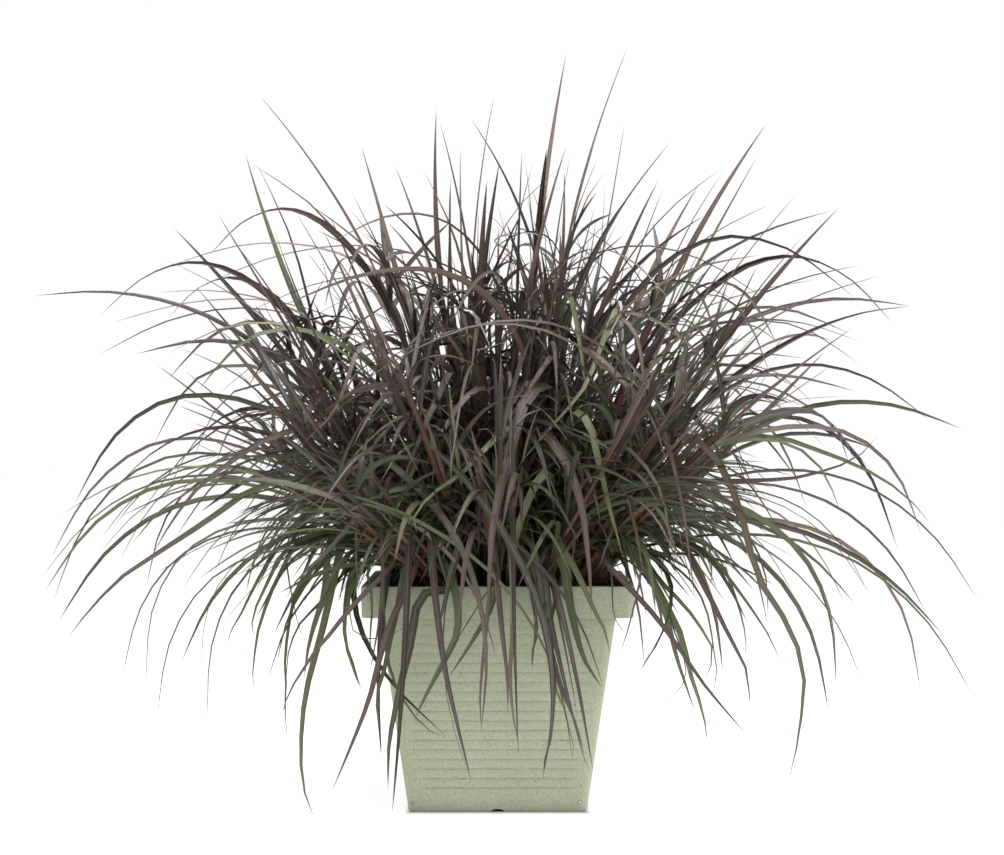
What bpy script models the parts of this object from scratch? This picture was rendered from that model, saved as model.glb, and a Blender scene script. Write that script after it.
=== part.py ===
"""A clump of purple ornamental grass in a square ribbed planter.

The planter is one moulded piece, the soil fills it to just under the rim, and each shoot of the grass is
one grown piece: a stem wrapped in its sheaths, the spear leaf at its end and the leaves that leave it at
its collars. A leaf is a narrow strap with a keel on its underside that arches over and tapers to a point.
Metres, +Z up, the origin under the middle of the planter on the surface that it stands on.
"""
import math
import random
from dataclasses import dataclass, field

import bmesh
import bpy
from mathutils import Matrix, Vector, noise
from mathutils.bvhtree import BVHTree

SEED = 31
UP = Vector((0.0, 0.0, 1.0))
GAP = 0.0003

# Planter
POT_HEIGHT = 0.322
FOOT_HALF = 0.126
SHOULDER_HALF = 0.1655
SHOULDER_HEIGHT = 0.278
RIM_HALF = 0.190
RIM_DRAFT = 0.001
LIP = 0.0095
WALL = 0.005
FLOOR = 0.006
CORNER_RADIUS = 0.012
CORNER_STEPS = 2
EDGE = 0.0015
NECK_ABOVE_SHOULDER = 0.011
NECK_BELOW_SHOULDER = 0.004

# Ribs of the planter's sides
GROOVES = 18
LOWEST_GROOVE = 0.0343
GROOVE_PITCH = 0.01376
GROOVE_DEPTH = 0.0016
GROOVE_HALF_HEIGHT = 0.0013
GROOVE_INSET = 0.019
GROOVE_POINT = 0.006

# Drain notches in the foot and the holes that they lead to
NOTCH_WIDTH = 0.019
NOTCH_HEIGHT = 0.0042
NOTCH_OVERRUN = 0.01
HOLE_RADIUS = 0.006
HOLE_FROM_EDGE = 0.036
HOLE_INSET = 1.5

# Soil
SOIL_LEVEL = 0.303
SOIL_MOUND = 0.012
SOIL_BUMP = 0.004
SOIL_LUMPS = 25.0
SOIL_SHARES = (0.84, 0.64, 0.44, 0.22)

# Stems and the straps of their leaves
TILLERS = 46
CROWN_RADIUS = 0.142
GOLDEN_ANGLE = math.radians(137.508)
STEM_RADIUS = 0.0068
STEM_TOP_RADIUS = 0.0048
STEM_SHARE = 0.60
SLOTS = (0.24, 0.46, 0.68, 0.90)
SLOT_HALF = 0.006
LEAF_HALF_WIDTH = 0.0060
SPEAR_HALF_WIDTH = 0.0064
ROOT_WIDTH = 0.6
ROOT_WIDENING = 2.0
TAPER_POWER = 3
LEAF_KEEL = 0.0040
TIP_KEEL = 0.0010
LEAF_STATIONS = (0.15, 0.36, 0.58, 0.80)
TIP_SPECK = 0.0002

# How clear of each other the leaves stay, and how often a place is tried
CLEARANCE = 0.0006
LEAST_CLEAR = 0.0015
FLOOR_ROOM = 0.012
TRIES = 30
NEAREST_SPOTS = 6

# How the shoots stand
SHOOT_LENGTH = 0.66
MIDDLE_LENGTH = 1.12
EDGE_SHORTER = 0.2
EDGE_LEAN = math.radians(52)
SHOOT_STRAY = 0.035
SHOOT_SCALES = (0.8, 1.0)
SHOOT_ARCH = 0.08
SHOOT_TWIST = 0.6
SPEAR_SPREAD = 1.6
SPEAR_BEND_DEPTH = 0.8
SPEAR_ROLL = 0.6
SPEAR_TWIST = 0.4

# The leaves that are placed as seen
SHOWN_WIDTHS = (0.8, 1.2)
SHOWN_ROLLS = (0.3, 0.9)
SHOWN_TWIST = 0.7
SHOWN_BEND_DEPTH = 0.9
USUAL_LENGTH = 0.52
LENGTH_COST = 3

# The leaves between them
OTHER_WIDTHS = (0.75, 1.2)
OTHER_LENGTHS = (0.42, 0.62)
TOP_LEAF_LONGER = 0.12
OTHER_DROOPS = (35, 85)
TOP_DROOP_LESS = 45
OTHER_OPENINGS = (0.4, 0.9)
OTHER_END_SHARES = (0.5, 0.62)
OTHER_TURN = 0.9
HEADING_STRAY = 0.5
DEPTH_BIAS = 1.6
OUTWARD_BIAS = 1.1
MIDDLE_CALM = 6

# The rounded outline that the other shoots and leaves keep within, seen from above and from the front
CLUMP_REACH = 0.64
CREST_EDGE = 0.72
CREST_RISE = 0.26
CREST_HALF = 0.55

# The spears and leaves that give the clump its outline: a point that each passes and its tip, as seen
# from the front in centimetres on the plane through the planter's middle, and its depth behind that plane
EYE = Vector((0.006, -3.5, 0.5424))
SPEARS = (
    (-22.5, 85.5, -35, 103, -10), (-32, 79, -37, 94.5, 5), (-31.5, 69.5, -41, 85.5, -15),
    (-36.5, 71.5, -47.5, 83.5, 0), (-36.5, 63, -43.5, 71.5, -20), (-16, 81.5, -20, 95.5, -5),
    (-11, 81, -15, 92.5, 10), (-9, 84.5, -9, 101, 0), (-5, 84.5, -8.5, 99, -12),
    (-5.5, 83, -5.5, 95, 15), (-3, 87.5, -0.5, 103, -3), (3, 87, -4, 99.5, 8),
    (3, 84, 3.5, 94.5, -15), (5, 84, 4, 93, 20), (7, 90.5, 10, 109, 3),
    (7, 85.5, 10, 95.5, -18), (12, 88.5, 19, 110, -6), (16, 84, 18.5, 98.5, 12),
    (11.5, 85.5, 14.5, 93.5, -22), (18.5, 80, 23.5, 90.5, -10), (23, 78, 29.5, 90, 5),
    (30.5, 85, 39.5, 99, -5), (32.5, 84, 38, 94, 10), (37.5, 72.5, 50, 86.5, -8),
    (33, 68.5, 38, 78, -25), (28.5, 70, 32, 76.5, -30),
)
LEFT_LEAVES = (
    (-49, 73, -68, 73.5, -5), (-39, 74, -50.5, 74, 5), (-40, 74.5, -49, 79, -8),
    (-41.5, 67, -53, 65, 10), (-40, 69, -48.5, 65, -12), (-41.5, 68, -48.5, 61, 15),
    (-39, 65.5, -44, 59.5, -15), (-45, 60.5, -50.5, 51.5, 8), (-52, 56.5, -62, 43, -5),
    (-50, 48, -64, 41.5, -15), (-54, 44.5, -67, 32, 0), (-57, 42, -66.5, 30, -12),
    (-54, 50, -65.5, 35, 10), (-51, 41, -64.5, 25.5, 5), (-47.5, 37.5, -63, 23, -18),
    (-48.5, 33.5, -55, 17.5, 15), (-48, 33.5, -51.5, 15.5, -10), (-43.5, 30.5, -50, 10.5, -22),
    (-37, 34.5, -46.5, 19.5, 8), (-38.5, 30.5, -42.5, 10, -12), (-32.5, 33.5, -40, 22.5, -20),
    (-33.5, 32.5, -36, 23, -25), (-33, 31, -36, 15.5, -15), (-48.5, 45, -55.5, 34.5, -25),
    (-47.5, 43, -51.5, 30.5, 20), (-40, 39, -46.5, 30, -28), (-39, 87, -47, 83.5, 25),
)
RIGHT_LEAVES = (
    (35.5, 96.5, 46.5, 93.5, -3), (33, 83.5, 40, 87, 10), (37, 82, 49, 86, -12),
    (44, 76, 53, 78, 5), (42.5, 71.5, 56, 76.5, -15), (48.5, 73, 60.5, 72, 8),
    (37, 82, 52.5, 73, -20), (32, 78.5, 38.5, 79.5, -25), (42.5, 71.5, 51.5, 68, 12),
    (44, 69, 53, 63.5, -10), (41.5, 62, 52.5, 59.5, -20), (53, 58, 68, 54, 0),
    (49.5, 63, 63.5, 55, -12), (44, 46.5, 56, 53, -22), (49, 50, 63, 41, 10),
    (56, 44.5, 70.5, 28.5, -5), (47.5, 54.5, 58.5, 36.5, 15), (56, 32.5, 70, 14, -8),
    (53, 35, 65.5, 23.5, -18), (57.5, 30.5, 62, 14.5, 5), (53, 40.5, 63, 26.5, 18),
    (45.5, 31, 53.5, 16.5, -15), (45.5, 40.5, 55, 29, -28), (42.5, 40.5, 51, 28, 22),
    (46.5, 32.5, 49.5, 16, -22), (42.5, 30.5, 48.5, 12, -5), (38.5, 35, 42.5, 2, -30),
    (33, 31.5, 41.5, 19, -12), (30.5, 30.5, 37, 12.5, -28), (33, 33, 36.5, 20, -20),
    (26.5, 21.5, 36.5, 9, -32), (26, 26, 31, 7.5, -26), (29.5, 33.5, 33, 18, -10),
    (58, 48, 62, 38.5, -20),
)
HANGING_LEAVES = (
    (-27, 19.5, -26.5, -3.5, -35), (-14, 16, -15.5, -2.5, -32), (-18.5, 16, -24, 1, -30),
    (-17.5, 17.5, -17, 6, -27), (-30.5, 21.5, -32, 10, -22), (-31, 18.5, -30.5, 8, -28),
    (-22.5, 24, -20, 15.5, -20), (-31, 25.5, -32.5, 19, -15), (-8, 19, -4, 2.5, -34),
    (-2, 25, -2.5, 9.5, -38), (-7, 21.5, -12.5, 11.5, -30), (-13.5, 14.5, -7.5, 9, -24),
    (-3.5, 23, -7, 18, -26), (2.5, 23, 3, 6, -36), (8, 14.5, 6.5, 2.5, -40),
    (11.5, 17.5, 14, 3.5, -34), (9, 20, 12.5, 6, -30), (7, 21.5, 11, 5, -27),
    (12.5, 24.5, 15.5, 16, -33), (9, 28.5, 10, 23.5, -25), (5.5, 26, 5, 18.5, -28),
    (0.5, 28.5, -1, 22.5, -30), (23.5, 23, 20.5, 18, -24), (27.5, 21, 23.5, 14, -20),
)

# Smooth shading and colours, linear
SMOOTH_ANGLE = math.radians(35)
SAGE = (0.36, 0.40, 0.285)
EARTH = (0.022, 0.016, 0.011)
GREEN_LEAF = (0.075, 0.125, 0.035)
PURPLE_LEAF = (0.060, 0.038, 0.042)
GREEN_BELOW = 0.55
PURPLE_ABOVE = 0.90


def seen(across, height, depth):
    """A point given as seen on the middle plane, in centimetres, carried to its depth on its line of sight."""
    on_plane = Vector((across, 0.0, height)) / 100
    return EYE + (on_plane - EYE) * ((depth / 100 - EYE.y) / -EYE.y)


def under_crest(points):
    """Whether all the points stay under the clump's rounded outline, as seen from the front."""
    for point in points:
        on_plane = EYE + (point - EYE) * (EYE.y / (EYE.y - point.y))
        rise = max(0.0, 1 - (on_plane.x / CREST_HALF) ** 2)
        if on_plane.z > CREST_EDGE + CREST_RISE * math.sqrt(rise):
            return False
    return True


def either_way(chance, most):
    """A number by chance, at most this far from zero."""
    return chance.uniform(-most, most)


def level(vector):
    """The level direction of a vector."""
    flat = Vector((vector.x, vector.y, 0.0))
    return flat.normalized() if flat.length > 1e-6 else Vector((1.0, 0.0, 0.0))


@dataclass
class Strap:
    """A tapering strap on a quadratic curve from its root to its tip, by way of its bend."""

    root: Vector
    bend: Vector
    tip: Vector
    heading: Vector
    half_width: float
    roll: float
    twist: float

    def point(self, t):
        """The middle of the strap at t, from 0 at the root to 1 at the tip."""
        return (1 - t) ** 2 * self.root + 2 * t * (1 - t) * self.bend + t * t * self.tip

    def along(self, t):
        """The direction in which the strap runs at t."""
        return ((1 - t) * (self.bend - self.root) + t * (self.tip - self.bend)).normalized()

    def frame(self, t):
        """The directions of the strap's width and of its keel at t."""
        along = self.along(t)
        keel = Vector((-self.heading.y, self.heading.x, 0.0)).cross(along).normalized()
        across = along.cross(keel)
        turn = self.roll + self.twist * t
        across = math.cos(turn) * across + math.sin(turn) * keel
        return across, across.cross(along)

    def section(self, t, margin=0.0):
        """Keel, right edge and left edge of the strap at t, in that order, margin further out."""
        across, down = self.frame(t)
        taper = min(1.0, ROOT_WIDTH + ROOT_WIDENING * t) * (1 - t ** TAPER_POWER)
        width = self.half_width * taper + margin
        middle = self.point(t) - down * margin
        keel = TIP_KEEL + (LEAF_KEEL - TIP_KEEL) * (1 - t) ** 2 + 2 * margin
        return [middle + keel * down, middle + width * across, middle - width * across]

    def length(self):
        """The strap's length, near enough."""
        legs = (self.bend - self.root).length + (self.tip - self.bend).length
        return (legs + (self.tip - self.root).length) / 2


@dataclass
class Leaf:
    """A strap that leaves the stem through a triangle of one side, with its keel at the triangle's corner turn."""

    strap: Strap
    slot: int
    side: int
    turn: int


@dataclass
class Tiller:
    """One shoot: its axis, whose lower share is the stem and whose rest is the spear leaf."""

    name: str
    axis: Strap
    foot: list = field(default_factory=list)
    leaves: list = field(default_factory=list)

    def stem_ring(self, t, margin=0.0):
        """The three corners of the stem at t, margin further out."""
        across, down = self.axis.frame(t)
        radius = STEM_RADIUS + (STEM_TOP_RADIUS - STEM_RADIUS) * t / STEM_SHARE + margin
        middle = self.axis.point(t)
        slant = math.sqrt(0.75) * across
        return [middle + radius * spoke for spoke in (down, slant - down / 2, -slant - down / 2)]

    def stations(self):
        """Where the stem's rings are: two close together at each slot, and the spear's start."""
        step = SLOT_HALF / self.axis.length()
        return [share * STEM_SHARE + side * step for share in SLOTS for side in (-1, 1)] + [STEM_SHARE]

    def rings(self, margin=0.0):
        """All the stem's rings, from the foot to the start of the spear."""
        return [self.foot] + [self.stem_ring(t, margin) for t in self.stations()]

    def collar(self, slot):
        """The point where a leaf of this slot leaves the stem."""
        return self.axis.point(self.stations()[2 * slot + 1])

    def free_slots(self):
        """The slots with no leaf yet."""
        return [slot for slot in range(len(SLOTS)) if slot not in {leaf.slot for leaf in self.leaves}]

    def corner(self, slot, side):
        """The triangle of a stem face that the leaf grows from: one lower corner and both upper ones."""
        below, above = self.rings()[2 * slot + 1 : 2 * slot + 3]
        after = (side + 1) % 3
        return [below[side], above[after], above[side]]


def prism_tree(rings):
    """A search tree of the triangular prism through the rings, each side split along both diagonals."""
    points = [point for ring in rings for point in ring]
    faces = [(0, 1, 2), tuple(range(len(points) - 3, len(points)))]
    for first in range(0, len(points) - 3, 3):
        for corner in range(3):
            a, b = first + corner, first + (corner + 1) % 3
            faces += [(a, b, b + 3), (a, b + 3, a + 3), (a, b, a + 3), (b, b + 3, a + 3)]
    return BVHTree.FromPolygons(points, faces)


def extent(points):
    """The lowest and the highest corner of some points."""
    axes = list(zip(*points))
    return Vector([min(axis) for axis in axes]), Vector([max(axis) for axis in axes])


class Room:
    """What is already in place, so that what is added stays clear of it."""

    def __init__(self):
        self.taken = []

    def add(self, tree, points):
        """Marks the space inside a tree, which lies within these points, as taken."""
        self.taken.append((tree, *extent(points)))

    def add_prism(self, rings):
        """Marks the space of the prism through the rings as taken."""
        self.add(prism_tree(rings), [point for ring in rings for point in ring])

    def is_free(self, rings):
        """Whether the prism through the rings meets nothing."""
        low, high = extent([point for ring in rings for point in ring])
        tree = prism_tree(rings)
        for other, other_low, other_high in self.taken:
            apart = any(low[i] > other_high[i] or high[i] < other_low[i] for i in range(3))
            if not apart and tree.overlap(other):
                return False
        return True


def strap_rings(strap, start, margin):
    """The rings of a strap that grows from a triangle, ending in a speck at its tip."""
    speck = [strap.tip + TIP_SPECK * spoke for spoke in (UP, Vector((1, 0, 0)), Vector((0, 1, 0)))]
    return [start] + [strap.section(t, margin) for t in LEAF_STATIONS] + [speck]


def spear_start(tiller):
    """The part of the axis beyond the stem, as a strap of its own."""
    axis = tiller.axis
    middle = axis.point(STEM_SHARE)
    bend = (1 - STEM_SHARE) * axis.bend + STEM_SHARE * axis.tip
    turn = axis.roll + axis.twist * STEM_SHARE
    return Strap(middle, bend, axis.tip, axis.heading, axis.half_width, turn, axis.twist * (1 - STEM_SHARE))


def least_twist(start, section):
    """Which corner of the start goes with the section's keel for the least twist between the two."""
    joins = [sum((start[(turn + i) % 3] - section[i]).length for i in range(3)) for turn in range(3)]
    return joins.index(min(joins))


def sides_by_room(tiller, slot, strap):
    """The stem's sides with how far the strap's start is clear of each and the side's outward direction."""
    first = strap.section(LEAF_STATIONS[0])
    found = []
    for side in range(3):
        lower, right, left = tiller.corner(slot, side)
        outward = (right - lower).cross(left - lower).normalized()
        found.append((min((point - lower).dot(outward) for point in first), side, outward))
    return sorted(found, key=lambda entry: -entry[0])


def try_leaf(room, tiller, slot, strap):
    """Adds the leaf to the tiller if it stays clear of everything, and says whether it did."""
    if min(strap.point(t).z for t in LEAF_STATIONS + (1.0,)) < FLOOR_ROOM:
        return False
    for clear, side, outward in sides_by_room(tiller, slot, strap):
        corner = tiller.corner(slot, side)
        turn = least_twist(corner, strap.section(LEAF_STATIONS[0]))
        start = corner[turn:] + corner[:turn]
        lifted = [point + GAP * outward for point in start]
        if clear > LEAST_CLEAR and room.is_free(strap_rings(strap, lifted, CLEARANCE)):
            room.add_prism(strap_rings(strap, start, 0.0))
            tiller.leaves.append(Leaf(strap, slot, side, turn))
            return True
    return False


def passing(root, via, tip):
    """The bend of the quadratic curve from root to tip that passes the point via."""
    near = (via - root).length
    t = near / (near + (tip - via).length)
    return (via - (1 - t) ** 2 * root - t * t * tip) / (2 * t * (1 - t))


def crown_spots():
    """Where the shoots come out of the soil, evenly over the planter, with how far out each one is."""
    spots = []
    for number in range(TILLERS):
        reach = math.sqrt((number + 0.5) / TILLERS)
        angle = number * GOLDEN_ANGLE
        heading = Vector((math.cos(angle), math.sin(angle), 0.0))
        spots.append((heading * CROWN_RADIUS * reach, heading, reach))
    return spots


def expected_tip(spot):
    """The tip of a shoot that grows from the spot with the lean that is usual there."""
    place, heading, reach = spot
    lean = EDGE_LEAN * reach
    length = SHOOT_LENGTH * (MIDDLE_LENGTH - EDGE_SHORTER * reach)
    return place + (math.cos(lean) * UP + math.sin(lean) * heading) * length + SOIL_LEVEL * UP


def ground(soil, place):
    """The point of the soil's surface straight under or over a place."""
    return soil.ray_cast(Vector((place.x, place.y, 1.0)), -UP)[0]


def try_tiller(room, soil, name, place, via, tip, roll, twist):
    """A tiller from its place in the soil past via to its tip, or None if it would meet another piece."""
    root = ground(soil, place)
    axis = Strap(root, passing(root, via, tip), tip, level(tip - root), SPEAR_HALF_WIDTH, roll, twist)
    tiller = Tiller(name, axis)
    tiller.foot = [ground(soil, corner) + 2 * GAP * UP for corner in tiller.stem_ring(0.0)]
    spear = spear_start(tiller)
    if not room.is_free(tiller.rings(CLEARANCE) + strap_rings(spear, [], 2 * CLEARANCE)[1:]):
        return None
    room.add_prism(tiller.rings() + strap_rings(spear, [], 0.0)[1:])
    return tiller


def plan_tillers(room, soil, chance):
    """The shoots: first those whose spears give the clump its outline, then the rest."""
    spots = crown_spots()
    tillers = []
    for across, height, tip_across, tip_height, depth in SPEARS:
        tip = seen(tip_across, tip_height, SPEAR_SPREAD * depth)
        via = seen(across, height, SPEAR_BEND_DEPTH * SPEAR_SPREAD * depth)
        for spot in sorted(spots, key=lambda spot: (expected_tip(spot) - tip).length)[:NEAREST_SPOTS]:
            name = "tiller_%02d" % (len(tillers) + 1)
            roll = math.pi / 2 + either_way(chance, SPEAR_ROLL)
            made = try_tiller(room, soil, name, spot[0], via, tip, roll, either_way(chance, SPEAR_TWIST))
            if made:
                tillers.append(made)
                spots.remove(spot)
                break
    for spot in spots:
        place, heading, reach = spot
        for _ in range(TRIES):
            name = "tiller_%02d" % (len(tillers) + 1)
            root = place + SOIL_LEVEL * UP
            stray = Vector([chance.gauss(0, SHOOT_STRAY) for _ in range(3)])
            tip = root + (expected_tip(spot) - root) * chance.uniform(*SHOOT_SCALES) + stray
            via = (root + tip) / 2 + chance.uniform(0.0, SHOOT_ARCH) * reach * UP
            roll = chance.uniform(0, math.pi)
            twist = either_way(chance, SHOOT_TWIST)
            made = under_crest([tip]) and try_tiller(room, soil, name, place, via, tip, roll, twist)
            if made:
                tillers.append(made)
                break
    return tillers


def shown_leaf(tiller, slot, via, tip, chance):
    """The strap from a free slot of the tiller past via to its tip."""
    root = tiller.collar(slot)
    width = LEAF_HALF_WIDTH * chance.uniform(*SHOWN_WIDTHS)
    roll = chance.uniform(*SHOWN_ROLLS) * chance.choice((-1, 1))
    twist = either_way(chance, SHOWN_TWIST)
    return Strap(root, passing(root, via, tip), tip, level(tip - root), width, roll, twist)


def leaf_cost(tiller, slot, via, tip):
    """How unlikely it is that the leaf with this tip grows from this slot."""
    root = tiller.collar(slot)
    start = (passing(root, via, tip) - root).normalized()
    stem = tiller.axis.along(tiller.stations()[2 * slot + 1])
    length = (via - root).length + (tip - via).length
    return (1 - start.dot(stem)) + LENGTH_COST * abs(length - USUAL_LENGTH)


def add_shown_leaves(room, tillers, chance):
    """The leaves whose tips give the clump its outline, each on the shoot that suits it best."""
    for across, height, tip_across, tip_height, depth in LEFT_LEAVES + RIGHT_LEAVES + HANGING_LEAVES:
        via = seen(across, height, SHOWN_BEND_DEPTH * depth)
        tip = seen(tip_across, tip_height, depth)
        choices = [(tiller, slot) for tiller in tillers for slot in tiller.free_slots()]
        choices.sort(key=lambda choice: leaf_cost(*choice, via, tip))
        for tiller, slot in choices[:TRIES]:
            if try_leaf(room, tiller, slot, shown_leaf(tiller, slot, via, tip, chance)):
                break


def chance_leaf(tiller, slot, plane, chance):
    """A strap from a free slot that arches over to a side by chance, lower and greener ones further down."""
    root = tiller.collar(slot)
    stem = tiller.axis.along(tiller.stations()[2 * slot + 1])
    outward = level(root) * min(1.0, MIDDLE_CALM * Vector((root.x, root.y)).length)
    turn = plane + math.pi * slot + chance.gauss(0, HEADING_STRAY)
    heading = level(Vector((math.cos(turn), DEPTH_BIAS * math.sin(turn), 0.0)) + OUTWARD_BIAS * outward)
    height = slot / (len(SLOTS) - 1)
    length = chance.uniform(*OTHER_LENGTHS) + TOP_LEAF_LONGER * height
    droop = math.radians(chance.uniform(*OTHER_DROOPS) - TOP_DROOP_LESS * height)
    start = (stem + chance.uniform(*OTHER_OPENINGS) * heading).normalized()
    end = math.cos(droop) * heading - math.sin(droop) * UP
    bend = root + start * length / 2
    tip = bend + end * length * chance.uniform(*OTHER_END_SHARES)
    width = LEAF_HALF_WIDTH * chance.uniform(*OTHER_WIDTHS)
    return Strap(root, bend, tip, heading, width, either_way(chance, OTHER_TURN), either_way(chance, OTHER_TURN))


def add_other_leaves(room, tillers, chance):
    """Leaves in the slots that are still free."""
    for tiller in tillers:
        plane = chance.uniform(0, math.pi)
        for slot in tiller.free_slots():
            for _ in range(TRIES):
                strap = chance_leaf(tiller, slot, plane, chance)
                inside = Vector((strap.tip.x, strap.tip.y)).length < CLUMP_REACH
                inside = inside and under_crest([strap.point(t) for t in LEAF_STATIONS + (1.0,)])
                if inside and try_leaf(room, tiller, slot, strap):
                    break


def split_outward(bm, face):
    """Splits a four-cornered face along the diagonal that stands further out."""
    a, b, c, d = face.verts
    outward = (c.co - a.co).cross(d.co - b.co)
    rise = (a.co + c.co - b.co - d.co).dot(outward)
    bmesh.ops.connect_vert_pair(bm, verts=[a, c] if rise > 0 else [b, d])


def sprout(bm, face, first, rings, tip):
    """Grows a strap out of a three-cornered face: the rings start at its corner first, then the tip."""
    shift = [vert.index for vert in face.verts].index(first)
    for ring in rings:
        face = bmesh.ops.extrude_discrete_faces(bm, faces=[face])["faces"][0]
        for place, vert in enumerate(face.verts):
            vert.co = ring[(place - shift) % 3]
        for edge in face.edges:
            split_outward(bm, next(side for side in edge.link_faces if side != face))
    point = bmesh.ops.poke(bm, faces=[face])["verts"][0]
    point.co = tip


def tiller_mesh(tiller):
    """The shoot as one closed mesh: the stem grown from its foot, then the spear and each leaf."""
    bm = bmesh.new()
    foot = [bm.verts.new(point) for point in tiller.foot]
    face = bm.faces.new(foot)
    levels = [foot]
    for ring in tiller.rings()[1:]:
        face = bmesh.ops.extrude_discrete_faces(bm, faces=[face])["faces"][0]
        for vert, point in zip(face.verts, ring):
            vert.co = point
        levels.append(list(face.verts))
    bm.faces.new(reversed(levels[0]))
    grown = [(face, levels[-1][0], spear_start(tiller))]
    for leaf in tiller.leaves:
        below, above = levels[2 * leaf.slot + 1 : 2 * leaf.slot + 3]
        corner = [below[leaf.side], above[(leaf.side + 1) % 3], above[leaf.side]]
        bmesh.ops.connect_vert_pair(bm, verts=corner[:2])
        grown.append((bm.faces.get(corner), corner[leaf.turn], leaf.strap))
    for face, first, strap in grown:
        bm.verts.index_update()
        sprout(bm, face, first.index, [strap.section(t) for t in LEAF_STATIONS], strap.tip)
    return mesh_of(bm, tiller.name)


def rounded_square(half, radius, height):
    """The points of a level square ring with round corners, counter-clockwise from above."""
    points = []
    for quarter, (x, y) in enumerate(((1, 1), (-1, 1), (-1, -1), (1, -1))):
        for step in range(CORNER_STEPS + 1):
            angle = math.pi / 2 * (quarter + step / CORNER_STEPS)
            points.append(
                Vector(
                    (
                        x * (half - radius) + radius * math.cos(angle),
                        y * (half - radius) + radius * math.sin(angle),
                        height,
                    )
                )
            )
    return points


def lofted(bm, rings):
    """A closed body grown upwards from its lowest ring; returns its last face."""
    lowest = [bm.verts.new(point) for point in rings[0]]
    face = bm.faces.new(lowest)
    for ring in rings[1:]:
        face = bmesh.ops.extrude_discrete_faces(bm, faces=[face])["faces"][0]
        for vert, point in zip(face.verts, ring):
            vert.co = point
    bm.faces.new(reversed(lowest))
    return face


def wall_half(height):
    """Half the planter's width across its sides at a height below the shoulder."""
    return FOOT_HALF + (SHOULDER_HALF - FOOT_HALF) * height / SHOULDER_HEIGHT


def cavity_rings(inset):
    """The planter's inside from the rim down to the floor, inset further in."""
    inner_rim = RIM_HALF - LIP - EDGE
    neck = SHOULDER_HEIGHT + NECK_ABOVE_SHOULDER
    under = SHOULDER_HEIGHT - NECK_BELOW_SHOULDER
    radius = CORNER_RADIUS - WALL
    return [
        rounded_square(inner_rim - inset, radius, POT_HEIGHT - EDGE),
        rounded_square(inner_rim - RIM_DRAFT - inset, radius, neck + inset),
        rounded_square(wall_half(under) - WALL - inset, radius, under + inset),
        rounded_square(wall_half(FLOOR) - WALL - inset, radius, FLOOR + inset),
    ]


def pot_mesh():
    """The planter's wall, foot, floor and rim as one closed body, without its grooves and drain holes."""
    bm = bmesh.new()
    outside = [
        rounded_square(FOOT_HALF - EDGE, CORNER_RADIUS, 0.0),
        rounded_square(wall_half(EDGE), CORNER_RADIUS, EDGE),
        rounded_square(SHOULDER_HALF, CORNER_RADIUS, SHOULDER_HEIGHT),
        rounded_square(RIM_HALF - RIM_DRAFT - EDGE, CORNER_RADIUS, SHOULDER_HEIGHT),
        rounded_square(RIM_HALF - RIM_DRAFT, CORNER_RADIUS, SHOULDER_HEIGHT + EDGE),
        rounded_square(RIM_HALF, CORNER_RADIUS, POT_HEIGHT - EDGE),
        rounded_square(RIM_HALF - EDGE, CORNER_RADIUS, POT_HEIGHT),
        rounded_square(RIM_HALF - LIP, CORNER_RADIUS - WALL, POT_HEIGHT),
    ]
    lofted(bm, outside + cavity_rings(0.0))
    return mesh_of(bm, "pot")


def groove_cutter():
    """Three-cornered bars with pointed ends, one corner sunk in each side along each groove."""
    bm = bmesh.new()
    for side in range(4):
        angle = side * math.pi / 2
        along = Vector((math.cos(angle), math.sin(angle), 0.0))
        out = along.cross(UP)
        for number in range(GROOVES):
            height = LOWEST_GROOVE + number * GROOVE_PITCH
            reach = wall_half(height) - GROOVE_INSET
            place = Matrix.Translation(out * wall_half(height) + UP * height)
            tall = math.sqrt(3) * GROOVE_HALF_HEIGHT
            turn = Matrix((-UP * tall, -out * GROOVE_DEPTH, along)).transposed().to_4x4()
            bar = bmesh.ops.create_cone(
                bm, cap_ends=True, segments=3, radius1=1.0, radius2=1.0, depth=2 * reach, matrix=place @ turn
            )
            ends = {face for vert in bar["verts"] for face in vert.link_faces}
            for face in ends:
                face.normal_update()
                way = face.normal.dot(along)
                if abs(way) > 0.9:
                    point = bmesh.ops.poke(bm, faces=[face])["verts"][0]
                    point.co += along * way * GROOVE_POINT + out * GROOVE_DEPTH / 4
    return mesh_of(bm, "groove_cutter")


def drain_channels():
    """A low oval channel under the foot, in from the middle of each side."""
    bm = bmesh.new()
    length = HOLE_FROM_EDGE + NOTCH_OVERRUN
    for side in range(4):
        turn = Matrix.Rotation(side * math.pi / 2, 4, "Z") @ Matrix.Rotation(math.pi / 2, 4, "X")
        place = turn @ Matrix.Translation((0, 0, FOOT_HALF + NOTCH_OVERRUN - length / 2))
        size = Matrix.Diagonal((NOTCH_WIDTH / 2, NOTCH_HEIGHT, 1.0, 1.0))
        bmesh.ops.create_cone(
            bm, cap_ends=True, segments=16, radius1=1.0, radius2=1.0, depth=length, matrix=place @ size
        )
    return mesh_of(bm, "drain_channels")


def drain_holes():
    """The drain hole through the floor at the inner end of each channel."""
    bm = bmesh.new()
    for side in range(4):
        turn = Matrix.Rotation(side * math.pi / 2, 4, "Z")
        inward = FOOT_HALF - HOLE_FROM_EDGE + HOLE_INSET * HOLE_RADIUS
        place = turn @ Matrix.Translation((0, -inward, FLOOR))
        bmesh.ops.create_cone(
            bm, cap_ends=True, segments=12, radius1=HOLE_RADIUS, radius2=HOLE_RADIUS, depth=FLOOR, matrix=place
        )
    return mesh_of(bm, "drain_holes")


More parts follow.
